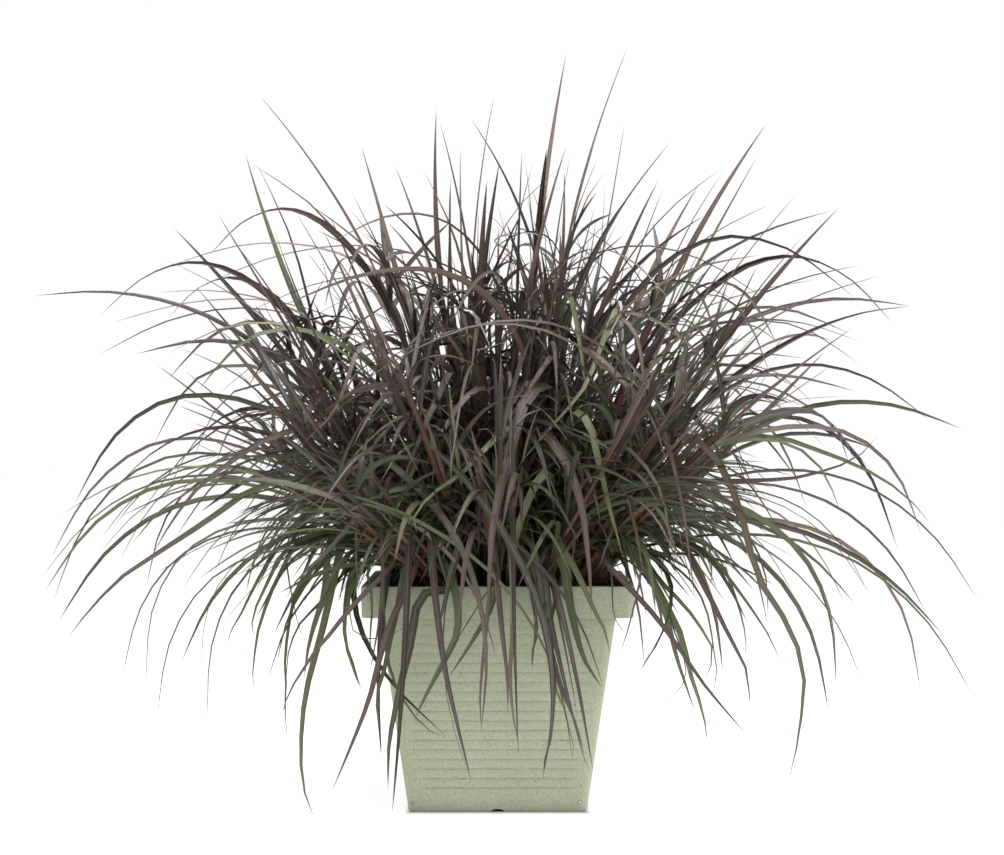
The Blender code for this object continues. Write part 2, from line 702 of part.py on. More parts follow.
def soil_surface(point, half):
    """The point of the level surface lifted onto the soil's low lumpy mound."""
    out = max(abs(point.x), abs(point.y)) / half
    lumps = SOIL_BUMP * noise.noise(point * SOIL_LUMPS)
    return point + UP * (SOIL_MOUND * math.cos(out * math.pi / 2) + lumps)


def soil_mesh():
    """The soil: it fills the planter to just under the rim, with a low lumpy mound in the middle."""
    bm = bmesh.new()
    sides = cavity_rings(GAP)[:0:-1]
    edge = [Vector((point.x, point.y, SOIL_LEVEL)) for point in sides[-1]]
    top = [
        [soil_surface(Vector((share * point.x, share * point.y, SOIL_LEVEL)), edge[0].x) for point in edge]
        for share in SOIL_SHARES
    ]
    face = lofted(bm, sides + [edge] + top)
    bmesh.ops.poke(bm, faces=[face])
    return mesh_of(bm, "soil")


def mesh_of(bm, name):
    """The mesh made from a bmesh, smooth across its gentle edges."""
    mesh = bpy.data.meshes.new(name)
    bm.to_mesh(mesh)
    bm.free()
    mesh.shade_smooth()
    mesh.set_sharp_from_angle(angle=SMOOTH_ANGLE)
    return mesh


def finish(name, colour, roughness):
    """A plain opaque material."""
    material = bpy.data.materials.new(name)
    material.use_nodes = True
    shader = material.node_tree.nodes["Principled BSDF"]
    shader.inputs["Base Color"].default_value = (*colour, 1.0)
    shader.inputs["Roughness"].default_value = roughness
    shader.inputs["Metallic"].default_value = 0.0
    return material


def add_object(mesh, material):
    """An object in the scene that carries the mesh's own name."""
    made = bpy.data.objects.new(mesh.name, mesh)
    made.data.materials.append(material)
    bpy.context.scene.collection.objects.link(made)
    return made


def add_cut(target, cutter_mesh):
    """Cuts a shape out of an object."""
    cutter = bpy.data.objects.new(cutter_mesh.name, cutter_mesh)
    bpy.context.scene.collection.objects.link(cutter)
    cutter.hide_render = True
    cutter.display_type = "WIRE"
    cut = target.modifiers.new(cutter_mesh.name, "BOOLEAN")
    cut.operation = "DIFFERENCE"
    cut.solver = "EXACT"
    cut.object = cutter


def leaf_colour(tiller):
    """The shoot's colour: green low down at the edge of the clump, purple higher up."""
    share = (tiller.axis.tip.z - GREEN_BELOW) / (PURPLE_ABOVE - GREEN_BELOW)
    purple = min(1.0, max(0.0, share))
    return [green + (dark - green) * purple for green, dark in zip(GREEN_LEAF, PURPLE_LEAF)]


def main():
    """Builds the planter, the soil and the shoots."""
    for old in list(bpy.data.objects):
        bpy.data.objects.remove(old)
    chance = random.Random(SEED)
    pot = add_object(pot_mesh(), finish("pot_sage", SAGE, 0.75))
    for cutter in (groove_cutter(), drain_channels(), drain_holes()):
        add_cut(pot, cutter)
    soil = add_object(soil_mesh(), finish("soil_dark", EARTH, 0.95))
    bpy.context.view_layer.update()
    depsgraph = bpy.context.evaluated_depsgraph_get()
    room = Room()
    for piece in (pot, soil):
        room.add(BVHTree.FromObject(piece, depsgraph), [Vector(corner) for corner in piece.bound_box])
    soil_tree = room.taken[1][0]
    tillers = plan_tillers(room, soil_tree, chance)
    add_shown_leaves(room, tillers, chance)
    add_other_leaves(room, tillers, chance)
    for tiller in tillers:
        add_object(tiller_mesh(tiller), finish(tiller.name + "_leaf", leaf_colour(tiller), 0.5))


main()
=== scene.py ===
"""The looks of a clump of purple ornamental grass that grows in a square ribbed planter.

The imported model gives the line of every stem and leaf. Each shoot is built again on those lines, as a
round stem in its sheaths with thin folded leaves, and side shoots with finer leaves fill the space between
them. The planter gets its soft ribs and speckled finish, and the soil its crumbs and root threads.
"""
import logging
import math
import random
from dataclasses import dataclass, field
from enum import Enum
from typing import NamedTuple

import bmesh
import bpy
from mathutils import Matrix, Quaternion, Vector, noise
from mathutils.geometry import interpolate_bezier


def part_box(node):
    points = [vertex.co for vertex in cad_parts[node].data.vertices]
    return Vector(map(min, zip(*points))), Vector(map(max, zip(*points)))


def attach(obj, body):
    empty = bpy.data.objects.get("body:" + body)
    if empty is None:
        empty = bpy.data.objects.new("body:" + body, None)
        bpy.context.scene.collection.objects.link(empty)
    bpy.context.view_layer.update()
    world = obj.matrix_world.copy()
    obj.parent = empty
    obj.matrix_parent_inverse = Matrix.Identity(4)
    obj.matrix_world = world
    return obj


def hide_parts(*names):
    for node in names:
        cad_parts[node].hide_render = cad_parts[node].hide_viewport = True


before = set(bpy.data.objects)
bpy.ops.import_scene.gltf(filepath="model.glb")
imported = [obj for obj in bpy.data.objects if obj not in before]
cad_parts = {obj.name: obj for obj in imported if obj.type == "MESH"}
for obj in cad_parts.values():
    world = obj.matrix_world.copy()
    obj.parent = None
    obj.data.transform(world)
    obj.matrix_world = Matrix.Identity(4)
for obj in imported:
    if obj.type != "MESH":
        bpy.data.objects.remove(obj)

LOG = logging.getLogger("grass_clump")

Colour = tuple[float, float, float, float]

UP = Vector((0.0, 0.0, 1.0))
SEED = 7
WELD = 2e-5
IMAGE_WIDTH = 1004
IMAGE_HEIGHT = 855
SENSOR_WIDTH = 36.0


@dataclass(frozen=True)
class Eye:
    """The photographer's place: a level camera in front of the planter.

    Args:
        place: where the camera stands, in metres.
        focal_pixels: its focal length in pixels of the picture.
    """

    place: tuple[float, float, float] = (0.006, -3.5, 0.5424)
    focal_pixels: float = 2391.0

    def lens(self) -> float:
        """The focal length in millimetres on the sensor."""
        return self.focal_pixels * SENSOR_WIDTH / IMAGE_WIDTH

    def point(self, column: float, row: float, depth: float) -> Vector:
        """The point that a pixel shows at a depth behind the planter's middle.

        Args:
            column: the pixel's column.
            row: the pixel's row.
            depth: how far behind the planter's middle the point lies, in metres.

        Returns:
            The point, in metres.
        """
        away = depth - self.place[1]
        across = (column - IMAGE_WIDTH / 2) * away / self.focal_pixels
        rise = (IMAGE_HEIGHT / 2 - row) * away / self.focal_pixels
        return Vector((self.place[0] + across, depth, self.place[2] + rise))

    def pixel(self, point: Vector) -> Vector:
        """The column and the row of the pixel that shows a point."""
        scale = self.focal_pixels / (point.y - self.place[1])
        across = (point.x - self.place[0]) * scale
        rise = (point.z - self.place[2]) * scale
        return Vector((IMAGE_WIDTH / 2 + across, IMAGE_HEIGHT / 2 - rise))


EYE = Eye()


def smoothstep(low: float, high: float, value: float) -> float:
    """A soft step from 0 at low to 1 at high."""
    share = min(1.0, max(0.0, (value - low) / (high - low)))
    return share * share * (3.0 - 2.0 * share)


def level(vector: Vector) -> Vector:
    """The level direction of a vector."""
    flat = Vector((vector.x, vector.y, 0.0))
    return flat.normalized() if flat.length > 1e-6 else Vector((1.0, 0.0, 0.0))


def smooth_line(points: list[Vector], steps: int) -> list[Vector]:
    """A smooth line through some points, with its own points evenly spaced.

    Args:
        points: the points that it passes.
        steps: the number of equal stretches to divide it into.

    Returns:
        The steps + 1 points of the line.
    """
    dense: list[Vector] = [points[0].copy()]
    last = len(points) - 1
    for index in range(last):
        start, end = points[index], points[index + 1]
        before, after = points[max(0, index - 1)], points[min(last, index + 2)]
        leave = start + (end - before) / 6
        arrive = end - (after - start) / 6
        dense += [point.copy() for point in interpolate_bezier(start, leave, arrive, end, 10)[1:]]
    lengths = [0.0]
    for one, two in zip(dense, dense[1:]):
        lengths.append(lengths[-1] + (two - one).length)
    even, place = [], 0
    for step in range(steps + 1):
        goal = lengths[-1] * step / steps
        while place < len(dense) - 2 and lengths[place + 1] < goal:
            place += 1
        share = (goal - lengths[place]) / max(1e-9, lengths[place + 1] - lengths[place])
        even.append(dense[place].lerp(dense[place + 1], min(1.0, share)))
    return even


def ring_around(line: list[Vector], step: int, radius: float, corners: int) -> list[Vector]:
    """A ring of points square to a line at one of its points.

    Args:
        line: the line's points.
        step: which of them the ring goes round.
        radius: the ring's radius.
        corners: how many points it has.

    Returns:
        The ring, counter-clockwise seen from ahead.
    """
    forward = (line[min(len(line) - 1, step + 1)] - line[max(0, step - 1)]).normalized()
    side = forward.cross(Vector((0.31, 0.9, 0.12))).normalized()
    face = forward.cross(side)
    turns = [2 * math.pi * corner / corners for corner in range(corners)]
    return [line[step] + radius * (side * math.cos(turn) + face * math.sin(turn)) for turn in turns]


def loft(bm: bmesh.types.BMesh, rings: list[list[Vector]], point: Vector | None = None) -> list[list]:
    """Grows a closed body through some rings.

    Args:
        bm: the mesh to grow it in.
        rings: the rings, each with its points in order, counter-clockwise seen from ahead.
        point: the tip that the last ring runs to, or None for a flat end.

    Returns:
        The vertices of each ring, and of the tip as a last ring of its own.
    """
    first = [bm.verts.new(place) for place in rings[0]]
    face = bm.faces.new(first)
    levels = [first]
    for ring in rings[1:]:
        face = bmesh.ops.extrude_discrete_faces(bm, faces=[face])["faces"][0]
        for vert, place in zip(face.verts, ring):
            vert.co = place
        levels.append(list(face.verts))
    bm.faces.new(reversed(first))
    if point is not None:
        tip = bmesh.ops.poke(bm, faces=[face])["verts"][0]
        tip.co = point
        levels.append([tip])
    return levels


class Marks:
    """The numbers that a mesh carries at each point for its finish."""

    NAMES = ("along", "across", "purple", "tone")

    def __init__(self, bm: bmesh.types.BMesh) -> None:
        """Finds or makes the layers.

        Args:
            bm: the mesh.
        """
        floats = bm.verts.layers.float
        self.layers = [floats.get(name) or floats.new(name) for name in self.NAMES]

    def write(self, vert: bmesh.types.BMVert, *values: float) -> None:
        """Gives a vertex its numbers, in the order of NAMES."""
        for layer, value in zip(self.layers, values):
            vert[layer] = value


class Strand:
    """A closed strand of a few steps with a pointed end, copied for each leaf and thin stem."""

    def __init__(self, steps: int, corners: int, material: int) -> None:
        """Models the strand once.

        Args:
            steps: the number of stretches along it.
            corners: the number of corners of its section.
            material: the place of its finish among its piece's materials.
        """
        bm = bmesh.new()
        Marks(bm)
        turns = [2 * math.pi * corner / corners for corner in range(corners)]
        rings = [[Vector((math.cos(turn), math.sin(turn), step)) for turn in turns] for step in range(steps)]
        levels = loft(bm, rings, UP * steps)
        bm.verts.index_update()
        places = [(vert.index, step, corner) for step, verts in enumerate(levels) for corner, vert in enumerate(verts)]
        for face in bm.faces:
            face.material_index = material
        self.steps = steps
        self.places = places
        self.mesh = bpy.data.meshes.new("strand")
        bm.to_mesh(self.mesh)
        bm.free()

    def lay(self, bm: bmesh.types.BMesh, rings: list[list[Vector]], tip: Vector) -> list[tuple]:
        """Copies the strand into a mesh and lays it along its line.

        Args:
            bm: the mesh of the piece that it joins.
            rings: its sections, in order from the root.
            tip: its pointed end.

        Returns:
            Each new vertex with its step and its corner.
        """
        first = len(bm.verts)
        bm.from_mesh(self.mesh)
        bm.verts.ensure_lookup_table()
        found = []
        for index, step, corner in self.places:
            vert = bm.verts[first + index]
            vert.co = tip if step == self.steps else rings[step][corner]
            found.append((vert, step, corner))
        return found


BLADE_STRAND = Strand(14, 4, 0)
FINE_STRAND = Strand(11, 4, 0)
CULM_STRAND = Strand(9, 5, 1)
THREAD_STRAND = Strand(4, 3, 0)


class NodeTree:
    """A short hand for building a material's nodes."""

    def __init__(self, name: str) -> None:
        """Makes the material with its shader.

        Args:
            name: the material's name.
        """
        self.material = bpy.data.materials.new(name)
        self.material.use_nodes = True
        self.tree = self.material.node_tree
        self.shader = self.tree.nodes["Principled BSDF"]

    def add(self, kind: str, values: dict | None = None, **settings: object) -> bpy.types.Node:
        """Adds a node.

        Args:
            kind: the node's type.
            values: what its input sockets hold, or the output socket that feeds them.
            settings: the node's own properties.

        Returns:
            The node.
        """
        node = self.tree.nodes.new(kind)
        for name, value in settings.items():
            setattr(node, name, value)
        for name, value in (values or {}).items():
            self.feed(node.inputs[name], value)
        return node

    def feed(self, socket: bpy.types.NodeSocket, value: object) -> None:
        """Sets a socket, or links an output socket to it."""
        if isinstance(value, bpy.types.NodeSocket):
            self.tree.links.new(value, socket)
        else:
            socket.default_value = value

    def set(self, name: str, value: object) -> None:
        """Sets or feeds one of the shader's sockets."""
        self.feed(self.shader.inputs[name], value)

    def math(self, operation: str, first: object, second: object = 0.0) -> bpy.types.NodeSocket:
        """The result of a sum on two numbers."""
        return self.add("ShaderNodeMath", {0: first, 1: second}, operation=operation).outputs[0]

    def mix(self, share: object, first: object, second: object) -> bpy.types.NodeSocket:
        """The mix of two colours."""
        node = self.add("ShaderNodeMix", data_type="RGBA", clamp_factor=True)
        self.feed(node.inputs[0], share)
        self.feed(node.inputs[6], first)
        self.feed(node.inputs[7], second)
        return node.outputs[2]

    def span(self, value: object, low: float, high: float, start: float = 0.0, end: float = 1.0) -> object:
        """A number's place between low and high, mapped from start to end."""
        inputs = {"Value": value, "From Min": low, "From Max": high, "To Min": start, "To Max": end}
        return self.add("ShaderNodeMapRange", inputs, clamp=True).outputs[0]

    def sway(self, value: object, amount: float) -> bpy.types.NodeSocket:
        """Noise about 0.5 turned into a number about zero."""
        return self.math("MULTIPLY", self.math("SUBTRACT", value, 0.5), amount)

    def attribute(self, name: str) -> bpy.types.NodeSocket:
        """The number that the mesh carries at each point under a name."""
        return self.add("ShaderNodeAttribute", attribute_name=name).outputs["Fac"]

    def place(self) -> bpy.types.NodeSocket:
        """The object coordinates, in metres."""
        return self.add("ShaderNodeTexCoord").outputs["Object"]

    def stack(self, x: object, y: object, z: object) -> bpy.types.NodeSocket:
        """Three numbers as one place."""
        return self.add("ShaderNodeCombineXYZ", {"X": x, "Y": y, "Z": z}).outputs[0]

    def grain(self, where: object, scale: float, detail: float = 3.0, rough: float = 0.55) -> object:
        """Noise of a scale, about 0.5."""
        inputs = {"Vector": where, "Scale": scale, "Detail": detail, "Roughness": rough}
        return self.add("ShaderNodeTexNoise", inputs).outputs["Fac"]

    def bump(self, height: object, strength: float, distance: float) -> None:
        """Raises the surface by a height."""
        inputs = {"Height": height, "Strength": strength, "Distance": distance}
        self.set("Normal", self.add("ShaderNodeBump", inputs).outputs["Normal"])


@dataclass(frozen=True)
class BladeFinish:
    """The skin of a leaf: green to purple, ribbed along, with a pale midrib.

    Args:
        green: the colour where a leaf is green.
        lime: the colour of the palest green leaves.
        purple: the colour where it is purple.
        mauve: the colour of the palest purple leaves.
        rust: the warm colour at the root of a pale purple leaf.
        dry: the straw colour of its worn flecks and tip.
        glint: the colour of a painted highlight on a fold that catches the light, for a tone above 1.
        rib_count: how many ribs run along each half.
    """

    green: Colour = (0.052, 0.080, 0.032, 1.0)
    lime: Colour = (0.195, 0.225, 0.100, 1.0)
    purple: Colour = (0.038, 0.025, 0.022, 1.0)
    mauve: Colour = (0.190, 0.132, 0.112, 1.0)
    rust: Colour = (0.150, 0.062, 0.030, 1.0)
    dry: Colour = (0.420, 0.350, 0.240, 1.0)
    glint: Colour = (0.640, 0.620, 0.580, 1.0)
    rib_count: float = 7.0

    def make(self) -> bpy.types.Material:
        """Builds the material."""
        nodes = NodeTree("grass_blade")
        across = nodes.attribute("across")
        along = nodes.attribute("along")
        tone = nodes.attribute("tone")
        blotch = nodes.grain(nodes.place(), 14.0, 4.0)
        strip = nodes.stack(nodes.math("MULTIPLY", across, 3.0), nodes.math("MULTIPLY", along, 9.0),
                            nodes.math("MULTIPLY", tone, 40.0))
        fleck = nodes.grain(strip, 4.0, 4.0, 0.65)
        share = nodes.math("ADD", nodes.attribute("purple"), nodes.sway(blotch, 0.5))
        share = nodes.math("ADD", share, nodes.sway(fleck, 0.5))
        lit = nodes.math("MULTIPLY", tone, nodes.span(along, 0.0, 0.45, 0.55, 1.0))
        greens = nodes.mix(nodes.span(lit, 0.30, 1.0), self.green, self.lime)
        purples = nodes.mix(nodes.span(lit, 0.25, 1.0), self.purple, self.mauve)
        warm = nodes.math("MULTIPLY", nodes.span(along, 0.0, 0.6, 0.55, 0.0), nodes.span(tone, 0.40, 0.70))
        purples = nodes.mix(warm, purples, self.rust)
        colour = nodes.mix(nodes.span(share, 0.25, 0.75), greens, purples)
        wide = nodes.math("ABSOLUTE", across)
        midrib = nodes.span(wide, 0.04, 0.20, 0.5, 0.0)
        colour = nodes.mix(midrib, colour, nodes.mix(0.5, colour, self.dry))
        waves = nodes.math("SINE", nodes.math("MULTIPLY", across, math.pi * self.rib_count))
        veins = nodes.span(waves, -1.0, 1.0, 0.0, 0.30)
        colour = nodes.mix(veins, colour, nodes.mix(0.6, colour, (0.0, 0.0, 0.0, 1.0)))
        worn = nodes.span(fleck, 0.55, 0.80, 0.0, 0.6)
        colour = nodes.mix(worn, colour, nodes.mix(0.4, colour, self.dry))
        # Painted highlight: a tone above 1 turns the leaf towards the pale glint colour.
        colour = nodes.mix(nodes.span(tone, 1.0, 2.0), colour, self.glint)
        nodes.set("Base Color", colour)
        nodes.set("Roughness", nodes.span(fleck, 0.3, 0.7, 0.28, 0.46))
        nodes.set("Specular IOR Level", 0.5)
        nodes.bump(nodes.math("ADD", waves, nodes.math("MULTIPLY", fleck, 1.5)), 0.4, 0.0005)
        return nodes.material


@dataclass(frozen=True)
class SheathFinish:
    """The skin of a stem in its sheaths: straw and green at the foot, red-brown further up.

    Args:
        straw: the colour at the foot.
        russet: the colour of most of the stem.
        dusk: the dark colour at its top.
        shade: the colour of its dark streaks.
    """

    straw: Colour = (0.080, 0.066, 0.028, 1.0)
    russet: Colour = (0.210, 0.070, 0.028, 1.0)
    dusk: Colour = (0.045, 0.026, 0.021, 1.0)
    shade: Colour = (0.018, 0.012, 0.009, 1.0)

    def make(self) -> bpy.types.Material:
        """Builds the material."""
        nodes = NodeTree("grass_sheath")
        along = nodes.attribute("along")
        tone = nodes.attribute("tone")
        strip = nodes.stack(nodes.math("MULTIPLY", nodes.attribute("across"), 7.0),
                            nodes.math("MULTIPLY", along, 5.0), nodes.math("MULTIPLY", tone, 30.0))
        fleck = nodes.grain(strip, 3.0, 4.0, 0.6)
        rise = nodes.math("ADD", along, nodes.sway(fleck, 0.5))
        warm = nodes.mix(nodes.span(tone, 0.2, 1.0), self.dusk, self.russet)
        colour = nodes.mix(nodes.span(rise, 0.05, 0.35), self.straw, warm)
        colour = nodes.mix(nodes.span(rise, 0.65, 1.0), colour, self.dusk)
        dark = nodes.span(fleck, 0.45, 0.75, 0.0, 0.6)
        colour = nodes.mix(dark, colour, nodes.mix(0.5, colour, self.shade))
        nodes.set("Base Color", colour)
        nodes.set("Roughness", nodes.span(fleck, 0.3, 0.7, 0.38, 0.58))
        nodes.bump(fleck, 0.5, 0.0008)
        return nodes.material


@dataclass(frozen=True)
class PlanterFinish:
    """The planter's matte sage plastic with its stone-like speckles, with painted shade under its rim and under the
    leaves, and painted shade and dirt in its grooves.

    Args:
        sage: the main colour.
        pale: the colour of the pale grains.
        dark: the colour of the dark specks.
        olive: the colour of the faint clouds in it.
        foliage_shade: the colour of the painted shade that the leaves cast on its upper part.
        scuff_yellow: the colour of the scuff near its left foot.
        pale_spot: the colour of the small pale spot near its right foot.
    """

    sage: Colour = (0.388, 0.418, 0.288, 1.0)
    pale: Colour = (0.525, 0.548, 0.410, 1.0)
    dark: Colour = (0.095, 0.095, 0.066, 1.0)
    olive: Colour = (0.290, 0.310, 0.180, 1.0)
    foliage_shade: Colour = (0.110, 0.130, 0.075, 1.0)
    scuff_yellow: Colour = (0.560, 0.500, 0.210, 1.0)
    pale_spot: Colour = (0.800, 0.800, 0.740, 1.0)

    def groove_shade_and_dirt(self, nodes: NodeTree, where: object, planter: "Planter") -> bpy.types.NodeSocket:
        """How much painted shade and dirt lies at a place: a thin uneven dark line in each groove.

        Args:
            nodes: the material's nodes.
            where: the place.
            planter: the planter, which says where its grooves are.

        Returns:
            The share of painted shade and dirt, from 0 to 1.
        """
        x, y, z = nodes.add("ShaderNodeSeparateXYZ", {"Vector": where}).outputs
        slope = (planter.shoulder_half - planter.foot_half) / planter.shoulder_height
        phase = nodes.math("DIVIDE", nodes.math("SUBTRACT", z, planter.lowest_groove), planter.groove_pitch)
        line = nodes.span(nodes.math("PINGPONG", phase, 0.5), 0.02, 0.15, 1.0, 0.0)
        across = nodes.math("MINIMUM", nodes.math("ABSOLUTE", x), nodes.math("ABSOLUTE", y))
        reach = nodes.math("ADD", nodes.math("MULTIPLY", z, slope), planter.foot_half - planter.groove_inset)
        shown = nodes.span(nodes.math("SUBTRACT", reach, across), 0.0, planter.groove_fade)
        rows = nodes.math("MULTIPLY", nodes.span(phase, -0.4, -0.3),
                          nodes.span(phase, planter.grooves * 0.55, planter.grooves - 0.6, 1.0, 0.0))
        broken = nodes.span(nodes.grain(where, 55.0, 2.0), 0.32, 0.58, 0.25, 1.0)
        return nodes.math("MULTIPLY", nodes.math("MULTIPLY", line, shown), nodes.math("MULTIPLY", rows, broken))

    def round_mark(self, nodes: NodeTree, where: object, colour: object, tint: Colour, centre: Vector) -> object:
        """The colour with a small round mark in it: a dot of a tint inside a dark ring.

        Args:
            nodes: the material's nodes.
            where: the place.
            colour: the colour without it.
            tint: the dot's colour.
            centre: where it is.

        Returns:
            The new colour.
        """
        away = nodes.add("ShaderNodeVectorMath", {0: where, 1: centre}, operation="DISTANCE").outputs["Value"]
        colour = nodes.mix(nodes.span(away, 0.0024, 0.0036, 0.55, 0.0), colour, self.dark)
        return nodes.mix(nodes.span(away, 0.0012, 0.0020, 0.85, 0.0), colour, tint)

    def make(self, planter: "Planter") -> bpy.types.Material:
        """Builds the material.

        Args:
            planter: the planter, which says where its grooves are.

        Returns:
            The material.
        """
        nodes = NodeTree("planter_sage")
        where = nodes.place()
        grain = nodes.grain(where, 420.0, 3.0, 0.7)
        cloud = nodes.grain(where, 11.0, 3.0, 0.5)
        colour = nodes.mix(nodes.span(grain, 0.40, 0.68), self.sage, self.pale)
        pits = nodes.span(grain, 0.30, 0.44, 0.55, 0.0)
        colour = nodes.mix(pits, colour, nodes.mix(0.5, self.sage, self.dark))
        colour = nodes.mix(nodes.span(cloud, 0.40, 0.70, 0.0, 0.18), colour, self.olive)
        specks = nodes.add("ShaderNodeTexVoronoi", {"Vector": where, "Scale": 130.0}, feature="F1")
        chosen = nodes.math("GREATER_THAN", specks.outputs["Color"], 0.80)
        dots = nodes.math("MULTIPLY", chosen, nodes.span(specks.outputs["Distance"], 0.10, 0.20, 0.75, 0.0))
        colour = nodes.mix(dots, colour, self.dark)
        # Painted shade and dirt: a thin dark line in each groove.
        shade_and_dirt = nodes.math("MULTIPLY", self.groove_shade_and_dirt(nodes, where, planter), 0.30)
        colour = nodes.mix(shade_and_dirt, colour, self.dark)
        height = nodes.add("ShaderNodeSeparateXYZ", {"Vector": where}).outputs["Z"]
        shoulder = planter.shoulder_height
        below = nodes.math("LESS_THAN", height, shoulder)
        # Painted shade: a dark band just under the rim's overhang.
        rim_shade = nodes.math("MULTIPLY", below, nodes.span(height, shoulder - 0.014, shoulder, 0.0, 0.20))
        colour = nodes.mix(rim_shade, colour, self.dark)
        # Painted shade: the upper part, under the leaves, is darkened towards a dark green.
        colour = nodes.mix(nodes.span(height, 0.08, 0.26, 0.0, 0.22), colour, self.foliage_shade)
        colour = self.round_mark(nodes, where, colour, self.scuff_yellow, planter.foot_marks[0])
        colour = self.round_mark(nodes, where, colour, self.pale_spot, planter.foot_marks[1])
        nodes.set("Base Color", colour)
        nodes.set("Roughness", nodes.span(grain, 0.3, 0.7, 0.62, 0.82))
        nodes.set("Specular IOR Level", 0.35)
        nodes.bump(grain, 0.35, 0.0006)
        return nodes.material


@dataclass(frozen=True)
class SoilFinish:
    """Dark fibrous potting mix.

    Args:
        peat: its dark colour.
        crumb: the colour of the drier crumbs.
        perlite: the colour of its few white grains.
    """

    peat: Colour = (0.020, 0.016, 0.012, 1.0)
    crumb: Colour = (0.100, 0.078, 0.055, 1.0)
    perlite: Colour = (0.650, 0.640, 0.600, 1.0)

    def make(self) -> bpy.types.Material:
        """Builds the material."""
        nodes = NodeTree("soil_peat")
        where = nodes.place()
        grain = nodes.grain(where, 160.0, 5.0, 0.7)
        colour = nodes.mix(nodes.span(grain, 0.45, 0.70), self.peat, self.crumb)
        specks = nodes.add("ShaderNodeTexVoronoi", {"Vector": where, "Scale": 240.0}, feature="F1")
        chosen = nodes.math("GREATER_THAN", specks.outputs["Color"], 0.90)
        dots = nodes.math("MULTIPLY", chosen, nodes.span(specks.outputs["Distance"], 0.25, 0.40, 0.9, 0.0))
        nodes.set("Base Color", nodes.mix(dots, colour, self.perlite))
        nodes.set("Roughness", 0.95)
        nodes.set("Specular IOR Level", 0.2)
        nodes.bump(grain, 0.9, 0.003)
        return nodes.material


@dataclass(frozen=True)
class ThreadFinish:
    """Dry root threads and dead leaf bits.

    Args:
        straw: the colour of the palest.
        dark: the colour of the darkest.
    """

    straw: Colour = (0.120, 0.092, 0.055, 1.0)
    dark: Colour = (0.025, 0.018, 0.012, 1.0)

    def make(self) -> bpy.types.Material:
        """Builds the material."""
        nodes = NodeTree("root_thread")
        grain = nodes.grain(nodes.place(), 90.0)
        colour = nodes.mix(nodes.span(nodes.attribute("tone"), 0.4, 1.0), self.dark, self.straw)
        nodes.set("Base Color", nodes.mix(nodes.span(grain, 0.4, 0.7, 0.0, 0.5), colour, self.dark))
        nodes.set("Roughness", 0.8)
        return nodes.material


def add_piece(bm: bmesh.types.BMesh, name: str, materials: list[bpy.types.Material],
              stands_for: str | None = None, sharp: float = 40.0) -> bpy.types.Object:
    """Makes a finished piece that rides on the part's one body.

    Args:
        bm: the piece's mesh, which is freed.
        name: the piece's name.
        materials: its materials.
        stands_for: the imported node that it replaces, if any.
        sharp: the angle in degrees from which an edge stays sharp.

    Returns:
        The piece.
    """
    mesh = bpy.data.meshes.new(name)
    bm.to_mesh(mesh)
    bm.free()
    mesh.shade_smooth()
    mesh.set_sharp_from_angle(angle=math.radians(sharp))
    for material in materials:
        mesh.materials.append(material)
    piece = bpy.data.objects.new(name, mesh)
    bpy.context.scene.collection.objects.link(piece)
    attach(piece, "root")
    if stands_for:
        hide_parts(stands_for)
    return piece


@dataclass
class Blade:
    """One leaf blade on a smooth line, folded along its midrib and tapering to a point.

    Args:
        points: points that its line passes, root first and tip last.
        across: the direction of its width at each of those points.
        half_width: half its greatest width.
        fold: how high its edges stand above the midrib, as a share of half the width.
        purple: how purple it is at its root and at its tip, from 0 to 1.
        tone: how pale and warm it is, from 0 to 1, or above 1 for a painted highlight.
        strand: the strand that it is made of.
        taper: how late along its length it narrows.
    """

    points: list[Vector]
    across: list[Vector]
    half_width: float
    fold: float
    purple: tuple[float, float]
    tone: float
    strand: Strand
    taper: float = 2.4

    THICKNESS = 0.0004
    CORNERS = ((-1.0, 1.0, 0.0), (0.0, 0.0, -1.0), (1.0, 1.0, 0.0), (0.0, 0.0, 0.6))

    def width_at(self, along: float) -> float:
        """Half the blade's width at a share of its length."""
        return self.half_width * min(1.0, 0.5 + 2.0 * along) * (1.0 - along ** self.taper) ** 0.85

    def across_at(self, along: float, forward: Vector) -> Vector:
        """The direction of the blade's width at a share of its length, square to its run."""
        spot = along * (len(self.across) - 1)
        first = min(int(spot), len(self.across) - 2)
        mixed = self.across[first].lerp(self.across[first + 1], spot - first)
        return (mixed - forward * mixed.dot(forward)).normalized()

    def rings(self) -> list[list[Vector]]:
        """The blade's sections from its root to just before its tip."""
        steps = self.strand.steps
        line = smooth_line(self.points, steps)
        found = []
        for step in range(steps):
            along = step / steps
            forward = (line[step + 1] - line[max(0, step - 1)]).normalized()
            side = self.across_at(along, forward)
            face = side.cross(forward)
            width = self.width_at(along)
            ring = []
            for wide, raised, thick in self.CORNERS:
                lift = raised * self.fold * width + thick * self.THICKNESS
                ring.append(line[step] + side * wide * width + face * lift)
            found.append(ring)
        return found

    def build(self, bm: bmesh.types.BMesh) -> None:
        """Grows the blade in a shoot's mesh, with its marks for the finish.

        Args:
            bm: the shoot's mesh.
        """
        laid = self.strand.lay(bm, self.rings(), self.points[-1])
        marks = Marks(bm)
        for vert, step, corner in laid:
            along = step / self.strand.steps
            wide = self.CORNERS[corner][0] if step < self.strand.steps else 0.0
            shade = self.purple[0] + (self.purple[1] - self.purple[0]) * along
            marks.write(vert, along, wide, shade, self.tone)


